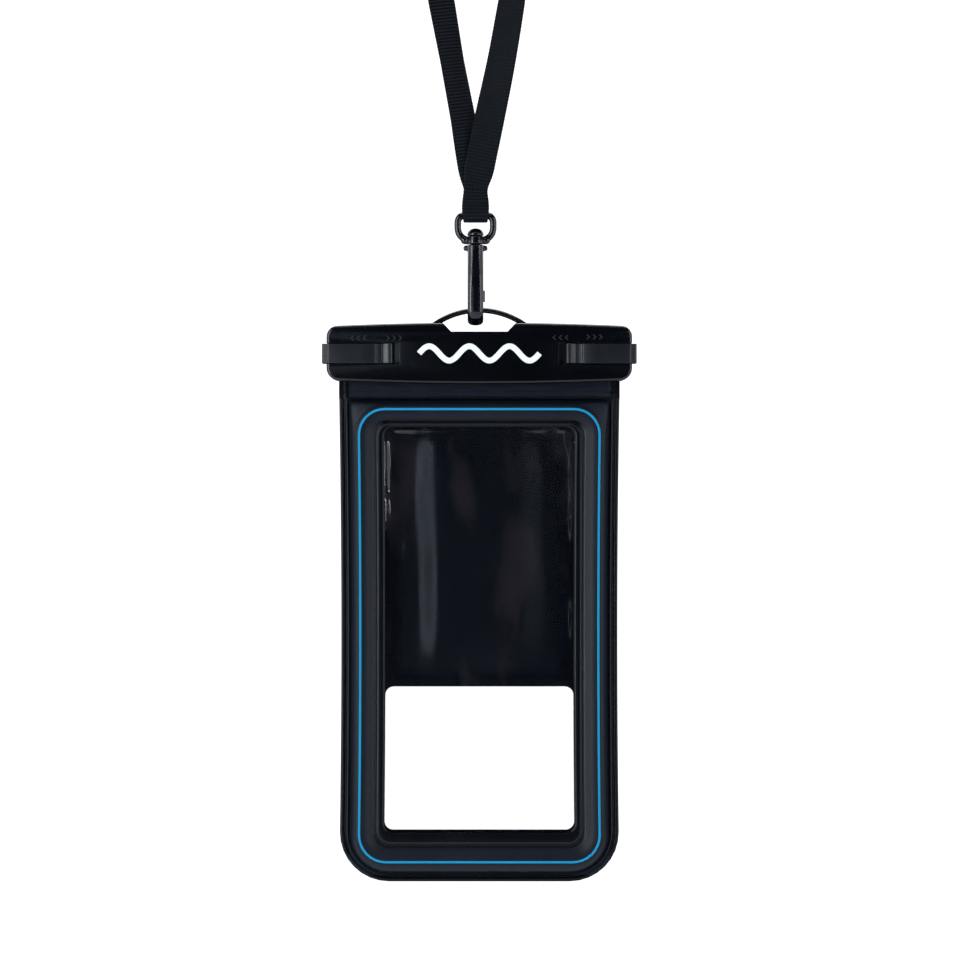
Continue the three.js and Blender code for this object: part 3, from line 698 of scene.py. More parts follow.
def loft(name: str, rings: Sequence[Ring], closed: bool = False,
         middle: int | None = None) -> Piece:
    """Skins rings with the same count of points.

    Args:
        name: The piece's name.
        rings: The rings, in order.
        closed: Whether the last ring joins the first; otherwise both ends are capped.
        middle: Where a mirrored ring's halves meet, if its caps are zipped; otherwise each is one face.

    Returns:
        The object.
    """
    count = len(rings[0])
    points = [point for ring in rings for point in ring]
    faces: list[tuple[int, ...]] = []
    for row in range(len(rings) if closed else len(rings) - 1):
        here, there = row * count, (row + 1) % len(rings) * count
        for step in range(count):
            after = (step + 1) % count
            faces.append((here + step, here + after, there + after, there + step))
    for first in () if closed else (0, len(points) - count):
        faces += [tuple(range(first, first + count))] if middle is None else zipped(count, first, middle)
    return raise_piece(name, points, faces)


def slab(name: str, drawing: Sequence[Point], low: float, high: float, along: Along) -> Piece:
    """Makes a flat drawing solid between two depths along an axis."""
    return loft(name, [[along.point(a, b, depth) for a, b in drawing] for depth in (low, high)])


def block(name: str, low: Sequence[float], high: Sequence[float]) -> Piece:
    """Makes a plain block between two corners, for cutting with or joining on."""
    drawing = [(low[0], low[1]), (high[0], low[1]), (high[0], high[1]), (low[0], high[1])]
    return slab(name, drawing, low[2], high[2], Along.Z)


def arc(centre: Point, radius: float, start: float, turn: float, steps: int) -> list[Point]:
    """Returns the points of an arc.

    Args:
        centre: The arc's centre.
        radius: Its radius.
        start: Its first angle, in half turns.
        turn: How far it goes on from there, in half turns.
        steps: The count of its chords.

    Returns:
        The points.
    """
    x, y = centre
    angles = [math.pi * (start + turn * step / steps) for step in range(steps + 1)]
    return [(x + radius * math.cos(angle), y + radius * math.sin(angle)) for angle in angles]


def circle(radius: float, sides: int) -> list[Point]:
    """Returns the corners of a round drawing."""
    return [(radius * math.cos(math.tau * side / sides), radius * math.sin(math.tau * side / sides))
            for side in range(sides)]


def turned(name: str, profile: Sequence[Point], centre: Vector, along: Along,
           closed: bool = False, sides: int = 40) -> Piece:
    """Turns a profile of radius and height about an axis through a centre.

    Args:
        name: The piece's name.
        profile: Radii and heights, in order.
        centre: A point on the axis, where the height is 0.
        along: The axis.
        closed: Whether the profile's last point joins the first.
        sides: Points around it.

    Returns:
        The object.
    """
    rings = []
    for radius, height in profile:
        rings.append([centre + along.point(a, b, height) for a, b in circle(max(radius, 0.02), sides)])
    return loft(name, rings, closed)


def rod(name: str, radius: float, low: float, high: float, centre: Vector, along: Along,
        sides: int = 28) -> Piece:
    """Turns a plain rod between two heights along an axis through a centre."""
    return turned(name, [(radius, low), (radius, high)], centre, along, sides=sides)


def pin(name: str, end: Sequence[Point], centre: Vector, along: Along) -> Piece:
    """Turns a pin from the radii and heights of one end, which its other end mirrors."""
    profile = [(radius, -height) for radius, height in end] + list(reversed(end))
    return turned(name, profile, centre, along, sides=28)


def swept(name: str, path: Ring, radius: float | Sequence[float], level: Vector, closed: bool = False,
          sides: int = 14) -> Piece:
    """Sweeps a round section along a path.

    Args:
        name: The piece's name.
        path: The centre line.
        radius: The section's radius, or one for each point.
        level: A direction that the path never runs along.
        closed: Whether the path is a loop.
        sides: Points around the section.

    Returns:
        The object.
    """
    rings = []
    for index, centre in enumerate(path):
        last = len(path) - 1
        ahead = path[(index + 1) % len(path)] if closed else path[min(index + 1, last)]
        behind = path[index - 1] if closed else path[max(index - 1, 0)]
        heading = (ahead - behind).normalized()
        side = heading.cross(level).normalized()
        rise = side.cross(heading)
        reach = radius if isinstance(radius, float) else radius[index]
        rings.append([centre + side * a + rise * b for a, b in circle(reach, sides)])
    return loft(name, rings, closed)


def cross_bar(name: str, end: Sequence[Point], y: float, level: float) -> Piece:
    """Sweeps a bar along X from the reaches and radii of one end, which its other end mirrors.

    Args:
        name: The piece's name.
        end: Reaches from the middle and radii, tip first.
        y: Y of the bar.
        level: Its level.

    Returns:
        The object.
    """
    keys = [(-x, radius) for x, radius in end] + list(reversed(end))
    path = [Vector((x, y, level)) for x, radius in keys]
    return swept(name, path, [radius for x, radius in keys], AXIS_Y, sides=24)


def settle(piece: Piece) -> None:
    """Turns a piece's modifiers into its mesh.

    Args:
        piece: The piece.
    """
    graph = bpy.context.evaluated_depsgraph_get()
    done = bpy.data.meshes.new_from_object(piece.evaluated_get(graph), depsgraph=graph)
    rough = piece.data
    piece.modifiers.clear()
    piece.data = done
    bpy.data.meshes.remove(rough)


class Cut(Enum):
    """What a second solid does to a first."""

    AWAY = "DIFFERENCE"
    ONTO = "UNION"


def work(piece: Piece, cut: Cut, *tools: Piece) -> None:
    """Cuts tools away from a piece, or joins them onto it, and throws them away.

    Args:
        piece: The piece.
        cut: What the tools do to it.
        tools: The other solids, in order.
    """
    for tool in tools:
        step = piece.modifiers.new("work", "BOOLEAN")
        step.operation = cut.value
        step.solver = "EXACT"
        step.object = tool
        settle(piece)
        discard(tool)


def soften(piece: Piece, width: float, segments: int = 2, angle: float = 35.0) -> None:
    """Rounds the edges that are sharper than an angle in degrees, and drops faces without area.

    Args:
        piece: The piece.
        width: The width of the round.
        segments: The count of its facets.
        angle: That angle.
    """
    step = piece.modifiers.new("soften", "BEVEL")
    step.width = width * MM
    step.segments = segments
    step.limit_method = "ANGLE"
    step.angle_limit = math.radians(angle)
    settle(piece)
    with opened(piece.data) as form:
        bmesh.ops.remove_doubles(form, verts=form.verts, dist=SAME_POINT)
        bmesh.ops.dissolve_degenerate(form, edges=form.edges, dist=SAME_POINT)


def gather(name: str, parts: Sequence[Piece]) -> Piece:
    """Makes one object of several, which are used up.

    Args:
        name: The object's name.
        parts: The others.

    Returns:
        The object.
    """
    joined = bpy.data.meshes.new(name)
    with opened(joined) as form:
        for part in parts:
            form.from_mesh(part.data)
            discard(part)
    return stand(name, joined)


def fuse(name: str, parts: Sequence[Piece], grain: float, rounds: int) -> Piece:
    """Melts parts into one casting with small fillets.

    Args:
        name: The casting's name.
        parts: The overlapping parts, which are used up.
        grain: The size of its faces in millimetres.
        rounds: How often it is smoothed.

    Returns:
        The casting.
    """
    piece = gather(name, parts)
    melt = piece.modifiers.new("melt", "REMESH")
    melt.mode = "VOXEL"
    melt.voxel_size = grain * MM
    rub = piece.modifiers.new("rub", "SMOOTH")
    rub.factor = 0.5
    rub.iterations = rounds
    settle(piece)
    return piece


def shade(piece: Piece, angle: float = 38.0) -> Piece:
    """Shades a piece smooth, with creases where its faces turn by more than an angle in degrees.

    Args:
        piece: The piece.
        angle: That angle.

    Returns:
        The piece.
    """
    piece.data.polygons.foreach_set("use_smooth", [True] * len(piece.data.polygons))
    piece.data.set_sharp_from_angle(angle=math.radians(angle))
    return piece


def between(near: Sequence[float], far: Sequence[float], share: float) -> list[float]:
    """Returns the row at a share of the way between two."""
    return [a + (b - a) * share for a, b in zip(near, far)]


def smooth_row(keys: Sequence[Sequence[float]], fine: int) -> list[list[float]]:
    """Runs a centripetal curve through keys of any count of numbers.

    Args:
        keys: The keys.
        fine: Steps between two keys.

    Returns:
        The rows on the curve, the keys among them.
    """
    rows = [list(map(float, key)) for key in keys]
    first = [2 * a - b for a, b in zip(rows[0], rows[1])]
    last = [2 * a - b for a, b in zip(rows[-1], rows[-2])]
    rows = [first, *rows, last]
    curve = []
    for index in range(1, len(rows) - 2):
        p0, p1, p2, p3 = rows[index - 1:index + 3]
        d0, d1, d2 = (max(math.sqrt(math.dist(a, b)), 1e-4) for a, b in ((p0, p1), (p1, p2), (p2, p3)))
        for step in range(fine):
            t = step / fine
            row = []
            for a, b, c, d in zip(p0, p1, p2, p3):
                leave = d1 * ((b - a) / d0 - (c - a) / (d0 + d1) + (c - b) / d1)
                enter = d1 * ((c - b) / d1 - (d - b) / (d1 + d2) + (d - c) / d2)
                row.append(b + leave * t + (3 * (c - b) - 2 * leave - enter) * t ** 2
                           + (2 * (b - c) + leave + enter) * t ** 3)
            curve.append(row)
    curve.append(rows[-2])
    return curve


def ease(value: float, start: float, end: float) -> float:
    """Returns 0 at the start, 1 at the end and a soft step between."""
    share = min(max((value - start) / (end - start), 0.0), 1.0)
    return share * share * (3 - 2 * share)


def hump(value: float, middle: float, spread: float) -> float:
    """Returns 1 at the middle, falling to 0 on both sides."""
    return math.exp(-((value - middle) / spread) ** 2)


def drift(x: float, z: float, across: float, along: float, layer: float) -> float:
    """Returns smooth noise from -1 to 1, at scales in cycles a millimetre."""
    return noise.noise(Vector((x * across, z * along, layer)))


@dataclass(frozen=True)
class Outline:
    """A rectangle with round corners, upright in X and Z.

    Args:
        half: Half its width.
        top: Its top level.
        bottom: Its bottom level.
        top_radius: The radius of its upper corners.
        bottom_radius: The radius of its lower corners.
    """

    half: float
    top: float
    bottom: float
    top_radius: float
    bottom_radius: float

    def inset(self, distance: float) -> "Outline":
        """Returns the outline that lies a distance inside this one."""
        return Outline(self.half - distance, self.top - distance, self.bottom + distance,
                       max(self.top_radius - distance, 0.6), max(self.bottom_radius - distance, 0.6))

    def key(self, depth: float) -> tuple[float, ...]:
        """Returns the outline's numbers and a depth as one row."""
        return self.half, self.top, self.bottom, self.top_radius, self.bottom_radius, depth

    def points(self, corner: int = 8, upright: int = 90, level: int = 48) -> list[Point]:
        """Returns points around it, ends and sides in turn.

        Args:
            corner: Steps in each corner.
            upright: Steps in each side.
            level: Steps in each end.

        Returns:
            The points, from the upper right corner on.
        """
        arcs = []
        for radius, z, start in ((self.top_radius, self.top - self.top_radius, 0.0),
                                 (self.bottom_radius, self.bottom + self.bottom_radius, 1.0)):
            x = (self.half - radius) * (1.0 - 2.0 * start)
            arcs.append(arc((x, z), radius, start, 0.5, corner))
            arcs.append(arc((-x, z), radius, start + 0.5, 0.5, corner))
        around = []
        for index, turn in enumerate(arcs):
            around += turn
            here, there = turn[-1], arcs[(index + 1) % 4][0]
            steps = upright if index % 2 else level
            around += [tuple(between(here, there, step / steps)) for step in range(1, steps)]
        return around


# Sub-assemblies


@dataclass(frozen=True)
class Lamp:
    """One soft rectangular light that faces the pouch.

    Args:
        name: Its name.
        place: Where it hangs, in metres.
        size: Its width and height.
        power: Its power in watts.
        tint: Its colour.
    """

    name: str
    place: tuple[float, float, float]
    size: Point
    power: float
    tint: Colour = (0.9, 0.95, 1.0)

    def light(self, target: Vector) -> None:
        """Hangs the light so that it faces a point and isn't seen itself.

        Args:
            target: That point, in metres.
        """
        data = bpy.data.lights.new(self.name, "AREA")
        data.shape = "RECTANGLE"
        data.size, data.size_y = self.size
        data.energy = self.power
        data.color = self.tint
        lamp = stand(self.name, data)
        lamp.location = self.place
        lamp.rotation_euler = (target - Vector(self.place)).to_track_quat("-Z", "Y").to_euler()
        lamp.visible_camera = False
        lamp.visible_transmission = False


@dataclass
class Studio:
    """Camera, white surroundings, pale floor and soft lights.

    Args:
        centre: The point in the middle of the view, in metres.
        distance: From the camera to that point.
        width: What the view takes in at that point.
        sensor: The width of the camera's sensor in millimetres.
        floor_level: Height of the floor.
        floor_radius: The floor's radius.
        backdrop: Brightness of the surroundings where they are seen.
        fill: Brightness of the surroundings as a light.
        fill_tint: Colour of the surroundings as a light.
        lamps: The lights.
    """

    centre: Vector = field(default_factory=lambda: Vector((0.001755, 0.0, -0.22425)))
    distance: float = 1.5
    width: float = 0.3744
    sensor: float = 36.0
    floor_level: float = -0.55
    floor_radius: float = 0.9
    backdrop: float = 1.25
    fill: float = 0.04
    fill_tint: Colour = (0.45, 0.62, 1.0)
    lamps: tuple[Lamp, ...] = (
        Lamp("left_box", (-0.72, -0.72, -0.1), (0.5, 1.3), 6.0),
        Lamp("right_box", (1.05, -0.85, -0.1), (0.6, 1.3), 5.0),
        Lamp("left_side", (-1.1, -0.2, -0.2), (0.4, 1.0), 3.0),
        Lamp("right_side", (1.1, -0.2, -0.2), (0.4, 1.0), 3.0),
        Lamp("crown", (0.0, 0.25, 0.7), (0.9, 0.3), 9.0),
        Lamp("overhead", (0.1, -0.75, 0.62), (0.9, 0.1), 0.9),
        Lamp("left_tube", (-0.85, -1.05, -0.1), (0.08, 1.2), 5.0),
        Lamp("right_tube", (0.85, -1.05, -0.1), (0.03, 1.2), 1.6),
        Lamp("left_gleam", (-0.43, -1.5, -0.24), (0.2, 0.9), 0.6, (0.7, 0.84, 1.0)),
        Lamp("right_gleam", (0.42, -1.5, -0.24), (0.18, 0.8), 0.09, (0.7, 0.84, 1.0)),
        Lamp("rear_left", (-0.8, 0.8, 0.2), (0.6, 0.9), 4.0),
        Lamp("rear_right", (0.8, 0.85, 0.1), (0.6, 0.9), 4.0),
    )

    def build(self) -> None:
        """Sets up the camera, the surroundings, the floor and the lights."""
        data = bpy.data.cameras.new("camera")
        data.sensor_width = self.sensor
        data.lens = self.sensor * self.distance / self.width
        camera = stand("camera", data)
        camera.location = self.centre - AXIS_Y * self.distance
        camera.rotation_euler = (math.pi / 2, 0.0, 0.0)
        bpy.context.scene.camera = camera
        bpy.context.scene.view_settings.view_transform = "Standard"
        self._surroundings()
        self._floor()
        for lamp in self.lamps:
            lamp.light(self.centre)

    def _surroundings(self) -> None:
        """Makes a white backdrop that is dim to everything it would light."""
        world = bpy.data.worlds.new("white_room")
        bpy.context.scene.world = world
        world.use_nodes = True
        nodes = Nodes(world.node_tree, "BACKGROUND")
        names = ("Is Camera Ray", "Is Transmission Ray", "Ray Depth", "Transmission Depth")
        straight, through, turns, bends = (nodes.add("ShaderNodeLightPath", output=name)
                                           for name in names)
        seen = (straight + through).above(0.5) * (1.0 - (turns - bends).above(1.5))
        nodes.dress(
            Color=nodes.blend(seen, self.fill_tint, (1.0, 1.0, 1.0)),
            Strength=seen * self.backdrop + (1.0 - seen) * self.fill,
        )

    def _floor(self) -> None:
        """Lays a round pale floor below the hanging pouch."""
        level = self.floor_level / MM
        floor = slab("floor", circle(self.floor_radius / MM, 96), level - 4.0, level, Along.Z)
        recipe = Recipe("floor_paint")
        paint = recipe.blend(recipe.cloud(60.0, 3.0), (0.84, 0.84, 0.84), (0.9, 0.9, 0.9))
        floor.data.materials.append(recipe.surface(Base_Color=paint, Roughness=0.6))


@dataclass
class Workshop:
    """Dresses finished pieces and puts them on the CAD's bodies.

    Args:
        finishes: The materials that have been built.
    """

    finishes: dict[Finish, bpy.types.Material] = field(default_factory=dict)

    def fit(self, piece: Piece, finish: Finish, body: str, *nodes: str,
            slot: Finish | None = None) -> Piece:
        """Finishes one piece.

        Args:
            piece: The piece.
            finish: Its finish.
            body: The CAD body that it rides on.
            nodes: The CAD nodes that it stands for.
            slot: The record's slot, where it isn't the finish's own; not used.

        Returns:
            The piece.
        """
        if finish not in self.finishes:
            self.finishes[finish] = finish.value.material()
        piece.data.materials.clear()
        piece.data.materials.append(self.finishes[finish])
        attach(piece, body)
        if nodes:
            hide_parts(*nodes)
        LOG.info("%s: %d faces on %s", piece.name, len(piece.data.polygons), body)
        return piece


@dataclass
class NeckStrap:
    """The ribbon, doubled through the eye and sewn above it.

    Args:
        shop: Where pieces are dressed.
        thickness: The ribbon's thickness.
        rib: The pitch of its cross ribs.
        rib_height: How far a rib stands over the hollow beside it.
        rib_reach: How far a rib stands out past the ribbon's edge.
        steps_per_rib: Rings in one rib.
        selvedge: The edge cord's height, and its middle and width as shares of half the ribbon.
        half_section: Points across the ribbon, as such shares.
        sewn_level: The level between the two rows of stitches.
        row_reach: How far each row is from it.
        sewn_face: Y of the outer layers' middles.
        stitches: X of each stitch in a row.
        stitch_length: A stitch's length.
        thread: Radii along a stitch.
        route: Points with x, y, z of the centre line, turn of the width in degrees, and width.
    """

    shop: Workshop
    thickness: float = 1.1
    rib: float = 1.3
    rib_height: float = 0.2
    rib_reach: float = 0.09
    steps_per_rib: int = 5
    selvedge: tuple[float, ...] = (0.06, 0.93, 0.04)
    half_section: tuple[float, ...] = (0.2, 0.5, 0.78, 0.9, 0.96, 0.99, 1.0)
    sewn_level: float = -110.8
    row_reach: float = 0.9
    sewn_face: float = 1.5
    stitches: tuple[float, ...] = (-3.3, -1.65, 0.0, 1.65, 3.3)
    stitch_length: float = 1.15
    thread: tuple[float, ...] = (0.08, 0.15, 0.18, 0.19, 0.18, 0.15, 0.08)
    route: Rows = (
        (0.0, 1.5, -103.5, 0, 12), (0.0, 1.5, -110.8, 0, 9), (0.0, 2.0, -116.5, 0, 10.6),
        (0.0, 2.25, -121.0, 0, 10.2), (0.0, 1.6, -122.7, 0, 9.4), (0.0, 0.0, -123.4, 0, 9.4),
        (0.0, -1.6, -122.7, 0, 9.4), (0.0, -2.25, -121.0, 0, 10.6), (0.0, -2.0, -116.5, 0, 10.8),
        (0.1, -1.5, -110.8, 0, 9), (1.2, -1.4, -104.0, -2, 12), (5.2, -1.2, -84.6, -8, 12),
        (10.1, -0.8, -60.8, -21, 12), (14.2, -0.3, -37.0, -28, 12), (16.3, 0.0, -24.0, -60, 12),
        (16.6, 0.0, -15.0, -88, 12), (12.0, 0.0, -5.2, -90, 12), (0.0, 0.0, -0.55, -90, 12),
        (-12.0, 0.0, -5.2, -90, 12), (-16.3, 0.0, -15.0, -98, 12), (-15.8, 0.0, -24.0, -128, 12),
        (-13.4, 0.1, -37.0, -150, 12), (-9.1, 0.3, -60.8, -141, 12), (-4.6, 0.5, -84.6, -146, 12),
        (-1.2, 0.2, -104.0, -172, 11), (0.0, 0.0, -110.8, -180, 9), (0.0, 0.0, -115.5, -180, 9),
    )

    def build(self) -> None:
        """Weaves the ribbon and sews it."""
        self._ribbon()
        self._stitching()

    def _rows(self) -> list[list[float]]:
        """Returns fine rows of centre, turn, width and distance along.

        Returns:
            The rows.
        """
        fine = 48
        centres = smooth_row([key[:3] for key in self.route], fine)
        rows = []
        run = 0.0
        for index, centre in enumerate(centres):
            before = min(index // fine, len(self.route) - 2)
            share = index / fine - before
            near, far = self.route[before], self.route[before + 1]
            turn, width = (near[n] + (far[n] - near[n]) * share for n in (3, 4))
            run += math.dist(centre, centres[index - 1]) if index else 0.0
            rows.append([*centre, turn, width, run])
        return rows

    def _stations(self) -> list[list[float]]:
        """Returns such rows at even distances, with calm turns and widths.

        Returns:
            The rows.
        """
        rows = self._rows()
        run = rows[-1][5]
        count = round(run / self.rib * self.steps_per_rib)
        even = []
        place = 0
        for step in range(count + 1):
            goal = run * step / count
            while place < len(rows) - 2 and rows[place + 1][5] < goal:
                place += 1
            near, far = rows[place], rows[place + 1]
            even.append(between(near, far, (goal - near[5]) / (far[5] - near[5])))
        reach = 2 * self.steps_per_rib
        calm = []
        for index, row in enumerate(even):
            window = even[max(index - reach, 0):index + reach + 1]
            mean = [sum(near[n] for near in window) / len(window) for n in (3, 4)]
            calm.append(row[:3] + mean + row[5:])
        return calm

    def _ribbon(self) -> None:
        stations = self._stations()
        half = [-share for share in reversed(self.half_section)] + list(self.half_section)
        section = [(share, 1.0) for share in half] + [(share, -1.0) for share in reversed(half)]
        height, middle, spread = self.selvedge
        rings: list[Ring] = []
        flats: list[Point] = []
        for index, (x, y, z, turn, width, run) in enumerate(stations):
            ahead = Vector(stations[min(index + 1, len(stations) - 1)][:3])
            heading = (ahead - Vector(stations[max(index - 1, 0)][:3])).normalized()
            across = Vector((math.cos(math.radians(turn)), math.sin(math.radians(turn)), 0.0))
            across = (across - heading * across.dot(heading)).normalized()
            face = heading.cross(across)
            hollow = 0.5 - 0.5 * math.cos(math.tau * run / self.rib)
            body = self.thickness / 2 - self.rib_height * hollow
            ring = []
            for share, side in section:
                edge = math.sqrt(max(1.0 - abs(share) ** 14, 0.0))
                lift = side * max((body + height * hump(abs(share), middle, spread)) * edge, 0.1)
                reach = share * (width / 2 - self.rib_reach * hollow)
                ring.append(Vector((x, y, z)) + across * reach + face * lift)
                flats.append((share * width / 2 * MM, run * MM))
            rings.append(ring)
        ribbon = shade(loft("neck_ribbon", rings), 60.0)
        layer = ribbon.data.uv_layers.new(name="flat")
        for loop in ribbon.data.loops:
            layer.data[loop.index].uv = flats[loop.vertex_index]
        self.shop.fit(ribbon, Finish.WEBBING, "lanyard", "neck_strap")
        stations[-1][5] * MM
        [Vector(row[:3]) * MM for row in stations[::3] + stations[-1:]]

    def _stitching(self) -> None:
        """Sews two rows of thread through the layers, shown on both faces."""
        parts = []
        last = len(self.thread) - 1
        for side in Side:
            face = side * (self.sewn_face + self.thickness / 2 - 0.04)
            for level in (self.sewn_level + self.row_reach, self.sewn_level - self.row_reach):
                for x in self.stitches:
                    path = [Vector((x + self.stitch_length * (step / last - 0.5),
                                    face + side * 0.12 * math.sin(math.pi * step / last), level))
                            for step in range(last + 1)]
                    parts.append(swept("stitch", path, self.thread, AXIS_Z, sides=8))
        stitching = shade(gather("strap_stitching", parts), 60.0)
        self.shop.fit(stitching, Finish.THREAD, "lanyard", slot=Finish.WEBBING)


@dataclass
class SwivelHook:
    """The ring with its collar, and the cast hook with its sprung gate.

    Args:
        shop: Where pieces are dressed.
        ring: The eye's ring, along the middle of its wire.
        wire: That wire's radius.
        collar_top: The top of the collar under the ring.
        collar_bottom: The collar's foot.
        collar_side: Radii and rises of the collar's outside over its foot.
        shoulders: Reaches and radii of the shoulders between the ring and the collar.
        bore: The radius of the collar's bore.
        stem: The radius of the rivet's shank.
        dome: Radii and rises of the rivet's head.
        spine_top: The top of the hook's spine.
        spine_half: Half the spine's width.
        spine: Its stations: Y, share of the way down, half thickness and heading in degrees.
        ears: Reaches and radii of the ears at its top.
        bowl_level: The level of the bowl's centre.
        bowl_radius: The bowl's inner radius.
        bowl_depth: Half thicknesses at the bowl's start, middle and end.
        nose_y: Y of the nose's middle.
        nose_top: The nose's top.
        pivot_y: Y of the gate's axis.
        pivot_level: The level of that axis.
        pin_end: Radii and heights of one end of the gate's pin.
        pin_bore: The radius of the bores for that pin.
        cheek: The radius of the gate's cheeks about it.
        gate_half: Half the gate's width and half its thickness.
        coil: The spring's radius, its wire's radius, its turns, its start and its length.
    """

    shop: Workshop
    ring: Outline = Outline(6.9, -121.05, -130.8, 2.6, 4.8)
    wire: float = 1.375
    collar_top: float = -129.275
    collar_bottom: float = -132.275
    collar_side: Points = (
        (1.85, 0.0), (3.6, 0.0), (3.85, 0.3), (3.8, 0.9), (3.65, 1.6), (3.45, 2.4),
    )
    shoulders: Points = ((5.6, 0.8), (5.2, 1.2), (4.6, 1.5), (3.5, 1.6))
    bore: float = 1.6
    stem: float = 1.3
    dome: Points = (
        (3.15, 0.0), (3.25, 0.2), (3.22, 0.7), (3.0, 1.3), (2.6, 1.85), (2.05, 2.3), (1.35, 2.66),
        (0.6, 2.85), (0.0, 2.9),
    )
    spine_top: float = -132.575
    spine_half: float = 3.1
    spine: Rows = (
        (0.0, 0.0, 3.1, -90.0), (-0.1, 0.1, 3.05, -93.0), (-1.05, 0.24, 2.75, -99.0),
        (-2.2, 0.38, 2.4, -100.0), (-3.5, 0.55, 2.1, -98.0), (-4.3, 0.72, 1.85, -91.0),
        (-4.4, 0.86, 1.8, -90.0), (-4.4, 1.0, 1.8, -90.0),
    )
    ears: Points = ((4.8, 0.12), (4.74, 0.4), (4.55, 0.78), (4.2, 1.06), (3.6, 1.15))
    bowl_level: float = -157.0
    bowl_radius: float = 2.6
    bowl_depth: tuple[float, ...] = (1.8, 2.2, 1.3)
    nose_y: float = 3.9
    nose_top: float = -155.0
    pivot_y: float = 2.2
    pivot_level: float = -142.0
    pin_end: Points = ((0.3, 3.0), (0.5, 2.92), (0.6, 2.75))
    pin_bore: float = 0.9
    cheek: float = 1.6
    gate_half: Point = (3.0, 0.8)
    coil: tuple[float, ...] = (1.15, 0.12, 1.45, 1.42, 0.26)

    def build(self) -> None:
        """Makes the ring, the hook, the gate, its pin and its spring."""
        self._eye()
        self._hook()
        self._gate()
        self._pin_and_spring()

    def _eye(self) -> None:
        """Bends the ring and melts it onto its collar."""
        path = [Vector((x, 0.0, z)) for x, z in self.ring.points(10, 6, 10)]
        wire = swept("wire", path, self.wire, AXIS_Y, closed=True, sides=24)
        top, bottom = self.collar_top, self.collar_bottom
        side = [(radius, bottom + rise) for radius, rise in self.collar_side]
        profile = [(self.bore, bottom + 0.25), *side, (3.35, top - 0.1), (3.3, top + 0.12),
                   (1.85, top + 0.12), (self.bore, top - 0.1)]
        collar = turned("collar", profile, MIDDLE, Along.Z, closed=True, sides=56)
        shoulders = cross_bar("shoulders", self.shoulders, 0.0, bottom + 1.45)
        eye = fuse("eye_casting", [wire, collar, shoulders], grain=0.13, rounds=30)
        work(eye, Cut.AWAY, rod("bore", self.bore, bottom - 1.0, top + 2.4, MIDDLE, Along.Z, sides=40))
        self.shop.fit(shade(eye, 50.0), Finish.HARDWARE, "lanyard", "swivel_eye")

    def _stations(self) -> list[list[float]]:
        """Returns rows of y, z, depth and heading down the spine and round the bowl.

        Returns:
            The rows.
        """
        drop = self.bowl_level - self.spine_top
        keys = [(y, self.spine_top + drop * share, depth, heading)
                for y, share, depth, heading in self.spine]
        start, middle, end = self.bowl_depth
        for step in range(1, 9):
            share = step / 8
            ends = start + (end - start) * share
            depth = ends + (middle - ends) * math.sin(math.pi * share)
            radius = self.bowl_radius + depth
            angle = math.pi * (1 + share)
            keys.append((radius * math.cos(angle), self.bowl_level + radius * math.sin(angle), depth,
                         -90.0 + 180.0 * share))
        keys += [(self.nose_y, self.nose_top - 0.5, end, 90.0), (self.nose_y, self.nose_top, 0.9, 90.0)]
        return smooth_row(keys, 5)

    def _spine(self) -> Piece:
        """Lofts the spine and the bowl, with a squarish section.

        Returns:
            The piece.
        """
        rings = []
        stations = self._stations()
        sides, square = 40, 2.5
        for index, (y, z, depth, heading) in enumerate(stations):
            turn = math.radians(heading)
            inward = Vector((0.0, -math.sin(turn), math.cos(turn)))
            ends = min(index + 2.0, len(stations) - index + 1.0)
            tuck = min(1.0, 0.86 + 0.05 * ends)
            ring = []
            for a, b in circle(1.0, sides):
                shape = tuck * (abs(a) ** square + abs(b) ** square) ** (-1 / square)
                ring.append(Vector((self.spine_half * a * shape, y, z)) + inward * (depth * b * shape))
            rings.append(ring)
        return loft("spine", rings)

    def _hook(self) -> None:
        """Casts the hook with its stem, head, ears and lug."""
        head = self.collar_top + 0.3
        profile = [(self.stem, self.spine_top - 1.0), (self.stem, head)]
        profile += [(radius, head + rise) for radius, rise in self.dome]
        stem = turned("stem", profile, MIDDLE, Along.Z, sides=48)
        ears = cross_bar("ears", self.ears, 1.0, self.spine_top - 1.25)
        level = self.pivot_level
        drawing = [(-2.2, level + 1.0), (-2.2, level - 2.4), (self.pivot_y, level - 1.6)]
        drawing += arc((self.pivot_y, level), self.cheek, -0.5, 0.9, 12)
        drawing.append((0.6, level + 4.6))
        lug = slab("lug", drawing, -1.0, 1.0, Along.X)
        hook = fuse("hook_casting", [self._spine(), stem, ears, lug], grain=0.14, rounds=30)
        work(hook, Cut.AWAY, self._bore())
        self.shop.fit(shade(hook, 50.0), Finish.HARDWARE, "hook", "hook_body")

    def _pivot(self) -> Vector:
        """Returns the middle of the gate's axis."""
        return Vector((0.0, self.pivot_y, self.pivot_level))

    def _bore(self) -> Piece:
        """Makes the cutter for a bore on the gate's axis."""
        return rod("bore", self.pin_bore, -6.0, 6.0, self._pivot(), Along.X, sides=32)

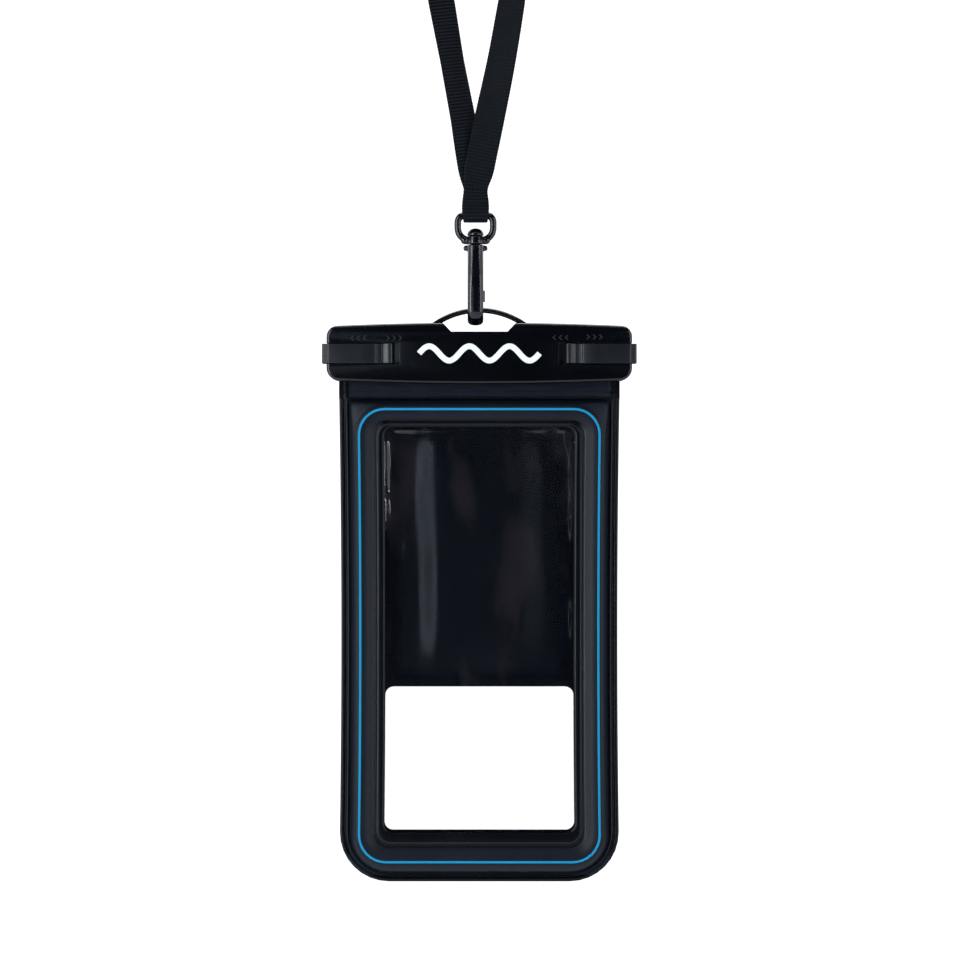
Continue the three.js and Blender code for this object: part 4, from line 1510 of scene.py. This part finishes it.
    def _gate(self) -> None:
        """Makes the gate's plate, flap and cheeks in one."""
        half, thick = self.gate_half
        inner, outer = self.nose_y - thick, self.nose_y + thick
        end = self.nose_top + 0.3
        top = self.pivot_level - 2.6
        plate = block("plate", (-half, inner, end), (half, outer, top))
        flap = block("flap", (2.9, inner, end), (3.7, outer, end + 4.5))
        drawing = [(outer, top - 2.4), (outer, top), (self.pivot_y + 1.504, self.pivot_level + 0.544)]
        drawing += arc((self.pivot_y, self.pivot_level), self.cheek, 0.11, 1.09, 14)
        drawing.append((inner, top - 2.4))
        cheeks = [slab("cheek", drawing, low, low + 0.9, Along.X) for low in (-half, half - 0.9)]
        gate = fuse("gate_leaf", [plate, flap, *cheeks], grain=0.12, rounds=5)
        work(gate, Cut.AWAY, self._bore())
        self.shop.fit(shade(gate, 50.0), Finish.HARDWARE, "gate", "hook_gate")

    def _pin_and_spring(self) -> None:
        """Turns the pin with its round ends and winds the spring."""
        rivet = pin("gate_pin_rod", self.pin_end, self._pivot(), Along.X)
        self.shop.fit(shade(rivet), Finish.HARDWARE, "hook", "gate_pin")
        radius, wire, turns, start, length = self.coil
        winding = arc((0.0, 0.0), radius, 0.0, 2 * turns, 72)
        path = [self._pivot() + Vector((start + length * step / 72, y, z))
                for step, (y, z) in enumerate(winding)]
        spring = swept("gate_spring_coil", path, wire, AXIS_X, sides=10)
        self.shop.fit(shade(spring, 60.0), Finish.SPRING_STEEL, "hook", "gate_spring")


@dataclass
class ClipSet:
    """Both bars, the arch, the seal, the flip levers and the prints on them.

    Args:
        shop: Where pieces are dressed.
        half: Half the bars' width.
        top: Their top level at the ends.
        bottom: Their bottom level at the ends.
        crown: How far both levels bow out in the middle.
        top_corner: The radius of the upper corners.
        bottom_corner: The radius of the lower corners.
        depth: Y of the bars' outer faces.
        face: Y of the faces that meet.
        edge_round: The round of the outer edges.
        through: Half the length of a cutter that goes right through.
        dip: The drawing of the dip under the arch.
        lip: Two corners of the rear bar's lip over the front bar.
        groove: Two corners of the seal's groove.
        seal_half: Half the seal's length.
        seal_y: Y of the seal's lips and of its back.
        seal_z: The seal's lower and upper levels.
        seal_lip: How far its lips stand out.
        lever_level: The middle level of the levers.
        lever_height: Their height.
        lever_room: The room above and below them.
        slot_x: X where the slots for their arms begin, in the front and the rear bar.
        slot_end: X past the bars' ends where all slots end.
        pivot: X and Y of the levers' axes.
        hinge_bore: The radius of the bores on those axes.
        pin_end: Radii of a lever pin's end, with heights over the lever.
        recess_x: X where the levers' recesses in the front bar begin.
        recess_face: The depth that is left behind them.
        arch_radius: The arch's radius.
        arch_level: Its top level.
        arch_reach: Half the distance between its feet.
        arch_wire: The radius of its wire.
        wave: The emblem's length, height and stroke.
        wave_count: The number of its waves.
        arrow: The drawing of one arrow.
        arrow_rows: The middle, the level and the heading of each row of arrows.
        arrow_pitch: The distance between two arrows.
    """

    shop: Workshop
    half: float = 59.4
    top: float = -164.3
    bottom: float = -185.7
    crown: float = 1.2
    top_corner: float = 4.3
    bottom_corner: float = 5.1
    depth: float = 6.5
    face: float = 1.05
    edge_round: float = 1.2
    through: float = 20.0
    dip: Points = ((-11.0, -166.6), (11.0, -166.6), (17.1, -160.1), (-17.1, -160.1))
    lip: Rows = ((-25.4, -0.75, -167.4), (25.4, 2.05, -163.6))
    groove: Rows = ((-51.4, 0.0, -183.7), (51.4, 3.15, -179.9))
    seal_half: float = 51.1
    seal_y: Point = (1.05, 2.85)
    seal_z: Point = (-183.4, -180.2)
    seal_lip: float = 0.25
    lever_level: float = -175.1
    lever_height: float = 7.6
    lever_room: float = 0.3
    slot_x: Point = (57.9, 53.0)
    slot_end: float = 70.0
    pivot: Point = (56.3, 3.4)
    hinge_bore: float = 1.3
    pin_end: Points = ((0.55, 3.0), (0.85, 2.9), (1.0, 2.65))
    recess_x: float = 30.8
    recess_face: float = 4.6
    arch_radius: float = 30.35
    arch_level: float = -158.1
    arch_reach: float = 19.4
    arch_wire: float = 1.03
    wave: tuple[float, ...] = (46.8, 7.8, 2.2)
    wave_count: int = 3
    arrow: Points = (
        (-0.75, 0.95), (-0.25, 0.95), (0.75, 0.0), (-0.25, -0.95), (-0.75, -0.95), (0.15, 0.0),
    )
    arrow_rows: Rows = (
        (-46.9, -169.1, -1), (-33.1, -169.1, 1), (31.5, -168.9, -1), (44.7, -168.7, 1),
    )
    arrow_pitch: float = 2.4

    def build(self) -> None:
        """Makes every piece of the clip."""
        self._front_bar()
        self._rear_bar()
        self._seal()
        for hand in Hand:
            self._lever(hand)
            self._lever_pin(hand)
        self._emblem()
        self._marks()

    def _outline(self, inset: float) -> list[Point]:
        """Returns the bars' outline, moved in by a distance, with its bowed top and bottom.

        Args:
            inset: The distance.

        Returns:
            The points.
        """
        half, top, bottom = self.half - inset, self.top - inset, self.bottom + inset
        upper, lower = max(self.top_corner - inset, 0.4), max(self.bottom_corner - inset, 0.4)
        points = []
        for sign, level, radius, start in ((-1, bottom, lower, 1.0), (1, top, upper, 0.0)):
            side = sign * (half - radius)
            middle = level - sign * radius
            points += arc((side, middle), radius, start, 0.5, 10)
            for share in (step / 32 for step in range(1, 32)):
                bow = 4 * sign * self.crown * share * (1 - share)
                points.append((side * (1 - 2 * share), level + bow))
            points += arc((-side, middle), radius, start + 0.5, 0.5, 10)
        return points

    def _blank(self, name: str, side: Side) -> Piece:
        """Moulds one bar before anything is cut in it.

        Args:
            name: The bar's name.
            side: Which bar it is.

        Returns:
            The bar.
        """
        steps = [(0.3, self.face), (0.08, self.face + 0.1), (0.0, self.face + 0.3)]
        steps += arc((self.edge_round, self.depth - self.edge_round), self.edge_round, 1.0, -0.5, 6)
        rings = [[Vector((x, side * y, z)) for x, z in self._outline(inset)] for inset, y in steps]
        return loft(name, rings)

    def _dip(self) -> Piece:
        """Makes the cutter for the dip under the arch."""
        return slab("dip", self.dip, -self.through, self.through, Along.Y)

    def _slots(self, start: float, face: float | None = None) -> list[Piece]:
        """Makes cutters for both levers, from an X out past the bars' ends.

        Args:
            start: That X.
            face: The depth that is left on the front; without it they go right through.

        Returns:
            The right cutter and the left one.
        """
        reach = self.lever_height / 2 + self.lever_room
        bottom, top = self.lever_level - reach, self.lever_level + reach
        low, high = -self.through, self.through if face is None else -face
        return [block("slot", (start, low, bottom), (self.slot_end, high, top)),
                block("slot", (-self.slot_end, low, bottom), (-start, high, top))]

    def _front_bar(self) -> None:
        """Moulds the front bar with its recesses for the levers."""
        bar = self._blank("front_bar_moulding", Side.FRONT)
        work(bar, Cut.AWAY, self._dip(), *self._slots(self.recess_x, self.recess_face),
             *self._slots(self.slot_x[0]))
        soften(bar, 0.3, 3)
        self.shop.fit(hang(shade(bar)), Finish.CLIP_PLASTIC, "pouch", "front_clip_bar")

    def _rear_bar(self) -> None:
        """Moulds the rear bar with its lip, groove, hinge seats and arch."""
        bar = self._blank("rear_bar_moulding", Side.REAR)
        work(bar, Cut.ONTO, block("lip", *self.lip))
        holes = [self._hinge_bore(self._hinge(hand), 3.3) for hand in reversed(Hand)]
        groove = block("groove", *self.groove)
        work(bar, Cut.AWAY, self._dip(), groove, *self._slots(self.slot_x[1]), *holes)
        reach = math.asin(self.arch_reach / self.arch_radius)
        centre = Vector((0.0, -POUCH_PLACE.y, self.arch_level - self.arch_radius))
        angles = [reach * (step / 32 - 1) for step in range(65)]
        path = [centre + Vector((math.sin(angle), 0.0, math.cos(angle))) * self.arch_radius
                for angle in angles]
        work(bar, Cut.ONTO, swept("arch", path, self.arch_wire, AXIS_Y, sides=20))
        soften(bar, 0.25, 2, 40.0)
        self.shop.fit(hang(shade(bar)), Finish.CLIP_PLASTIC, "pouch", "rear_clip_bar")

    def _seal(self) -> None:
        """Extrudes the seal with two round lips on its front."""
        front, back = self.seal_y
        low, high = self.seal_z
        lips = [(front + self.seal_lip - self.seal_lip * abs(math.sin(math.tau * step / 32)),
                 low + (high - low) * step / 32) for step in range(33)]
        drawing = [*lips, (back, high), (back, low)]
        seal = slab("seal_lips", drawing, -self.seal_half, self.seal_half, Along.X)
        self.shop.fit(hang(shade(seal)), Finish.SEAL_RUBBER, "pouch", "seal_strip")

    def _hinge(self, hand: Hand) -> Vector:
        """Returns the middle of one lever's axis."""
        return Vector((hand * self.pivot[0], self.pivot[1], self.lever_level))

    def _hinge_bore(self, centre: Vector, spare: float) -> Piece:
        """Makes the cutter for one lever's pin, which goes on past the lever by a spare length."""
        reach = self.lever_height / 2 + spare
        return rod("hole", self.hinge_bore, -reach, reach, centre, Along.Z)

    def _lever(self, hand: Hand) -> None:
        """Moulds one flip lever from its plan about the pivot.

        Args:
            hand: Which lever it is.
        """
        inner, outer, ridge, arm = -8.3, -10.4, -11.7, 2.4
        tip, ridge_end, dip_end, end = -22.7, -18.7, -16.0, 4.9
        plan = [(tip, inner), (1.6, inner), (arm, inner + 0.8), (arm, -2.6)]
        bend = [math.radians(-30 - 15 * step) for step in range(17)]
        plan += [(arm * math.cos(angle), arm * math.sin(angle)) for angle in bend]
        plan += [
            (end - 1.2, 1.68), (end - 0.35, 1.2), (end, 0.6), (end, outer + 1.8), (end - 0.2, outer + 1.2),
            (end - 0.6, outer + 0.8), (2.5, outer + 0.6), (2.3, outer + 0.3), (-4.0, outer + 0.1),
            (-10.0, outer - 0.05), (dip_end + 0.4, outer - 0.15), (dip_end, outer),
            (dip_end - 0.35, outer + 0.45), (ridge_end + 0.35, outer + 0.92),
            (ridge_end + 0.05, outer + 0.5), (ridge_end - 0.2, ridge + 0.85),
            (ridge_end - 1.1, ridge + 0.5), (ridge_end - 2.1, ridge + 0.15), (tip + 1.1, ridge),
            (tip + 0.6, ridge + 0.12), (tip + 0.2, ridge + 0.5), (tip, ridge + 1.1),
        ]
        half = self.lever_height / 2
        name = hand.name.lower()
        lever = slab(f"{name}_lever_moulding", [(x * hand, y) for x, y in plan], -half, half, Along.Z)
        work(lever, Cut.AWAY, self._hinge_bore(MIDDLE, 1.0))
        soften(lever, 0.3, 3, 28.0)
        shift(lever, self._hinge(hand))
        self.shop.fit(hang(shade(lever)), Finish.LEVER_PLASTIC, f"lever_{name}", f"{name}_lever")

    def _lever_pin(self, hand: Hand) -> None:
        """Turns one lever's pin with its round ends.

        Args:
            hand: Which lever it is for.
        """
        end = [(radius, self.lever_height / 2 + height) for radius, height in self.pin_end]
        name = hand.name.lower()
        rivet = pin(f"{name}_hinge_pin", end, self._hinge(hand), Along.Z)
        self.shop.fit(hang(shade(rivet)), Finish.SPRING_STEEL, "pouch", f"{name}_lever_pin")

    def _emblem(self) -> None:
        """Prints the white wave on the front bar."""
        length, height, stroke = self.wave
        rise = (height - stroke) / 2
        turns = math.tau * self.wave_count
        steps = 120
        upper, lower = [], []
        for step in range(steps + 1):
            share = step / steps
            slope = rise * turns / length * math.cos(turns * share)
            across = Vector((-slope, 1.0)).normalized() * (stroke / 2)
            middle = Vector((length * (share - 0.5), rise * math.sin(turns * share) + self.lever_level))
            upper.append(tuple(middle + across))
            lower.append(tuple(middle - across))
        face = self.depth + 0.02
        emblem = slab("wave_print", lower + upper[::-1], -face - 0.1, -face, Along.Y)
        self.shop.fit(hang(shade(emblem)), Finish.WHITE_PRINT, "pouch", "wave_emblem")

    def _marks(self) -> None:
        """Raises rows of small arrows over the levers, which show how each is turned."""
        arrows = []
        for middle, level, heading in self.arrow_rows:
            for place in (-1, 0, 1):
                x = middle + place * self.arrow_pitch
                drawing = [(x + along * heading, level + rise) for along, rise in self.arrow]
                arrows.append(slab("arrow", drawing, -self.depth - 0.07, -self.depth + 0.2, Along.Y))
        marks = shade(gather("lever_arrows", arrows))
        self.shop.fit(hang(marks), Finish.MARKS, "pouch", slot=Finish.CLIP_PLASTIC)


@dataclass
class PouchBody:
    """The puffed panels with their neck, the blue line, the films and the dark sheet.

    Args:
        shop: Where pieces are dressed.
        outer: The panels' edge.
        weld: The welded line inside it.
        line: The crest of the tube, where the blue line is.
        groove: The groove between the tube and the window.
        window: The window's opening.
        camera_opening: The opening of the dark sheet.
        waist: How far the sides draw in at mid height.
        neck_top: The top of the flat neck.
        neck_face: Y of the neck's outer faces.
        pocket_face: Y of the pocket's walls round the window.
        line_width: The blue line's width.
        line_form: Shares across the blue line, and its height over the vinyl there.
        film: Y of the front film's two faces.
        sheet: Y of the dark sheet's two faces.
        clear: Y of the rear film's two faces.
        middle_point: The number of the point in an outline where its halves meet.
        seam: How far each panel stays from the middle, where both are welded.
        wrinkles: The middle, level, width, length and height of each wrinkle in the front film.
        tube: The sections of a panel's face: insets from an outline, each with its depth.
    """

    shop: Workshop
    outer: Outline = Outline(54.7, -189.3, -380.7, 1.5, 19.5)
    weld: Outline = Outline(51.5, -192.7, -377.9, 2.5, 16.3)
    line: Outline = Outline(47.0, -196.7, -372.7, 10.1, 10.6)
    groove: Outline = Outline(41.0, -200.8, -367.0, 6.5, 6.5)
    window: Outline = Outline(37.3, -203.6, -361.4, 3.6, 3.6)
    camera_opening: Outline = Outline(37.3, -304.9, -360.8, 3.4, 3.4)
    waist: float = 0.9
    neck_top: float = -167.7
    neck_face: float = 0.7
    pocket_face: float = 3.6
    line_width: float = 0.86
    line_form: Points = (
        (0.0, -0.1), (0.0, 0.02), (0.04, 0.05), (0.25, 0.055), (0.5, 0.055), (0.75, 0.055), (0.96, 0.05),
        (1.0, 0.02), (1.0, -0.1),
    )
    film: Point = (-3.0, -3.3)
    sheet: Point = (3.0, 3.3)
    clear: Point = (2.4, 2.7)
    middle_point: int = 32
    seam: float = 0.03
    wrinkles: Rows = (
        (-35.2, -236.0, 1.5, 3.2, 0.5), (-36.2, -219.0, 1.2, 15.0, 0.5), (35.0, -208.0, 1.4, 5.0, 0.5),
        (30.5, -213.5, 1.0, 2.4, 0.35), (-28.5, -250.5, 1.1, 1.3, 0.3), (36.0, -238.0, 1.0, 9.0, 0.4),
        (36.0, -278.0, 0.9, 8.0, 0.35),
    )
    tube: tuple[tuple[Point, ...], ...] = (
        ((0.0, 0.6), (0.7, 0.9), (1.3, 0.85), (1.9, 0.36), (2.6, 1.0)),
        ((0.0, 1.15), (0.7, 0.6), (1.2, 2.5)),
        ((-1.9, 4.99), (-0.8, 5.76), (0.8, 5.76), (2.6, 5.39), (4.5, 4.47)),
        ((-0.35, 3.9), (0.0, 3.86), (0.8, 4.4), (1.6, 4.55)),
        ((-0.7, 4.5), (0.0, 4.1)),
    )

    def build(self) -> None:
        """Makes both panels, the line, the films and the sheet."""
        self._panel(Side.FRONT)
        self._panel(Side.REAR)
        self._line()
        edge = self.groove.inset(-0.6)
        front = self._sheet("front_film", edge, edge.inset(40.6), self.film, self._film_wave)
        self.shop.fit(front, Finish.CLEAR_FILM, "pouch", "front_window")
        sheet = self._sheet("dark_sheet", edge, self.camera_opening, self.sheet, self._sheet_wave, True)
        self.shop.fit(sheet, Finish.SHEET_VINYL, "pouch", "rear_sheet")
        rim = self.camera_opening.inset(-2.4)
        clear = self._sheet("camera_film", rim, rim.inset(26.0), self.clear, lambda x, z: 0.0)
        self.shop.fit(clear, Finish.CLEAR_FILM, "pouch", "camera_window")

    def _crease(self, x: float, z: float, side: Side) -> float:
        """Returns how far the skin stands off its even shape at a point of a panel.

        Args:
            x: X of the point.
            z: Its level.
            side: Which panel it is on.

        Returns:
            The distance.
        """
        gathered = 1.0 - ease(-z, 192.0, 212.0)
        ripple = math.sin(0.34 * x + 2.2 * drift(x, z, 0.05, 0.06, side * 3.0))
        soft = drift(x, z, 0.035, 0.022, 5.0 + side)
        fine = drift(x, z, 0.11, 0.05, 9.0 + side)
        return 0.1 * gathered * ripple + 0.2 * soft + 0.07 * fine

    def _ring(self, row: Sequence[float], side: Side, creased: bool = True) -> Ring:
        """Returns the points of one outline at a depth, waisted and creased.

        Args:
            row: The outline's five numbers and the depth.
            side: Which panel it is on.
            creased: Whether the skin's creases are added.

        Returns:
            The points.
        """
        upper, lower = self.outer.top, self.outer.bottom
        ring = []
        for x, z in Outline(*row[:5]).points():
            level = min(max((2 * z - upper - lower) / (upper - lower), -1.0), 1.0)
            x *= 1 - self.waist * (1 - level * level) / self.outer.half
            depth = row[5]
            if creased:
                depth += self._crease(x, z, side) * ease(depth, 0.8, 4.4)
            ring.append(Vector((x, side * depth, z)))
        return ring

    def _tube(self) -> list[list[float]]:
        """Returns the rows of a panel's face, from its rim to the window.

        Returns:
            The rows.
        """
        outlines = (self.outer, self.weld, self.line, self.groove, self.window)
        keys = [outline.inset(distance).key(depth) for outline, steps in zip(outlines, self.tube)
                for distance, depth in steps]
        return smooth_row(keys, 4)

    def _panel(self, side: Side) -> None:
        """Forms one panel with its flat neck.

        Args:
            side: Which panel it is.
        """
        pocket = self.groove.inset(-0.9)
        rows = [self.outer.key(self.seam), *self._tube(), self.window.key(self.pocket_face),
                pocket.key(self.pocket_face), pocket.key(self.seam)]
        name = side.name.lower()
        panel = loft(f"{name}_panel", [self._ring(row, side) for row in rows], closed=True)
        work(panel, Cut.ONTO, self._neck(side))
        self.shop.fit(hang(shade(panel, 50.0)), Finish.PANEL_VINYL, "pouch", f"{name}_frame")

    def _neck(self, side: Side) -> Piece:
        """Makes the flat neck that the clip holds, gathered in small pleats below it.

        Args:
            side: Which panel it is for.

        Returns:
            The neck.
        """
        half, low, steps = self.outer.half, self.outer.top - 3.2, 150
        rings = []
        for row in range(25):
            z = self.neck_top + (low - self.neck_top) * (row / 24) ** 0.6
            loose = ease(-z, 186.6, 187.8)
            face, back = [], []
            for step in range(steps + 1):
                x = half * (2 * step / steps - 1)
                pleat = 0.56 * loose * abs(drift(x, z, 0.07, 1.1, 20.0 + side))
                pleat += 0.35 * hump(half - abs(x), 3.0, 0.5)
                face.append(Vector((x, side * (self.neck_face + pleat), z)))
                back.append(Vector((x, side * self.seam, z)))
            rings.append(face + back[::-1])
        return loft("neck", rings)

    def _line(self) -> None:
        """Prints the blue line along the crest of the front panel."""
        reach = 0.8
        crest = [row for row in self._tube() if abs(row[0] - self.line.half) <= reach + 1e-6]
        rows = []
        for step, lift in self.line_form:
            share = 0.5 + (step - 0.5) * self.line_width / (2 * reach)
            place = share * (len(crest) - 1)
            near = min(int(place), len(crest) - 2)
            row = between(crest[near], crest[near + 1], place - near)
            row[5] += lift
            rows.append(row)
        line = loft("blue_trim", [self._ring(row, Side.FRONT) for row in rows], closed=True)
        self.shop.fit(hang(shade(line, 60.0)), Finish.BLUE_PRINT, "pouch", "blue_line")

    def _inside(self, x: float, z: float) -> float:
        """Returns how far inside the window's edge a point is."""
        return min(self.window.half - abs(x), self.window.top - z, z - self.window.bottom)

    def _room(self, x: float, z: float) -> float:
        """Returns 0 at the window's edge and 1 well inside it."""
        return ease(self._inside(x, z), -2.5, 16.0)

    def _film_wave(self, x: float, z: float) -> float:
        """Returns how far the front film bulges forward at a point.

        Args:
            x: X of the point.
            z: Its level.

        Returns:
            The distance along Y.
        """
        inside = self._inside(x, z)
        bulge = 0.3 * (1.0 - (x / self.window.half) ** 2)
        bulge += 0.3 * drift(x, z, 0.045, 0.012, 2.0) + 0.12 * drift(x, z, 0.12, 0.035, 7.0)
        bend = x + 1.6 * noise.noise(Vector((z * 0.02, 4.0, 1.0)))
        plateau = ease(bend, -26.0, -15.0) * (1.0 - ease(bend, 14.0, 26.0)) * ease(z, -308.0, -280.0)
        pinch = ease(drift(x, z, 0.2, 0.075, 31.0), -0.5, 0.0)
        tight = ease(z, -262.0, -240.0) if x < 0 else ease(z, -232.0, -222.0)
        rim = (0.08 + 0.46 * tight * pinch) * hump(inside, 0.9, 1.3)
        rim += sum(height * hump(x, middle, across) * hump(z, level, along)
                   for middle, level, across, along, height in self.wrinkles)
        return -bulge * self._room(x, z) - 0.95 * plateau * ease(inside, 0.0, 8.0) - rim

    def _sheet_wave(self, x: float, z: float) -> float:
        """Returns how far the dark sheet leans back at a point."""
        lean = 0.15 + 0.25 * drift(x, z, 0.04, 0.015, 12.0)
        return lean * self._room(x, z) * ease(z, -306.0, -285.0)

    def _sheet(self, name: str, edge: Outline, inner: Outline, depths: Point,
               wave: Callable[[float, float], float], opening: bool = False) -> Piece:
        """Makes a thin sheet between two depths.

        Args:
            name: The piece's name.
            edge: Its outline.
            inner: The outline of its opening, or the small one where its skins are closed.
            depths: Y of its two faces.
            wave: How far it is moved along Y at a point.
            opening: Whether the inner outline is an opening.

        Returns:
            The sheet, in its place.
        """
        rings = []
        steps = 60
        for depth in depths:
            rows = []
            for step in range(steps + 1):
                row = between(edge.key(depth), inner.key(depth), (step / steps) ** 1.4)
                ring = self._ring(row, Side.REAR, False)
                rows.append([point + AXIS_Y * wave(point.x, point.z) for point in ring])
            rings.append(rows)
        if opening:
            piece = loft(name, rings[0] + rings[1][::-1], closed=True)
        else:
            piece = loft(name, rings[0][::-1] + rings[1], middle=self.middle_point)
        return hang(shade(piece, 50.0))


def main() -> None:
    """Builds the scene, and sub-assembly by sub-assembly."""
    logging.basicConfig(level=logging.INFO, format="%(name)s %(message)s")
    Studio().build()
    shop = Workshop()
    for part in (NeckStrap(shop), PouchBody(shop), ClipSet(shop), SwivelHook(shop)):
        part.build()


if __name__ == "__main__":
    main()
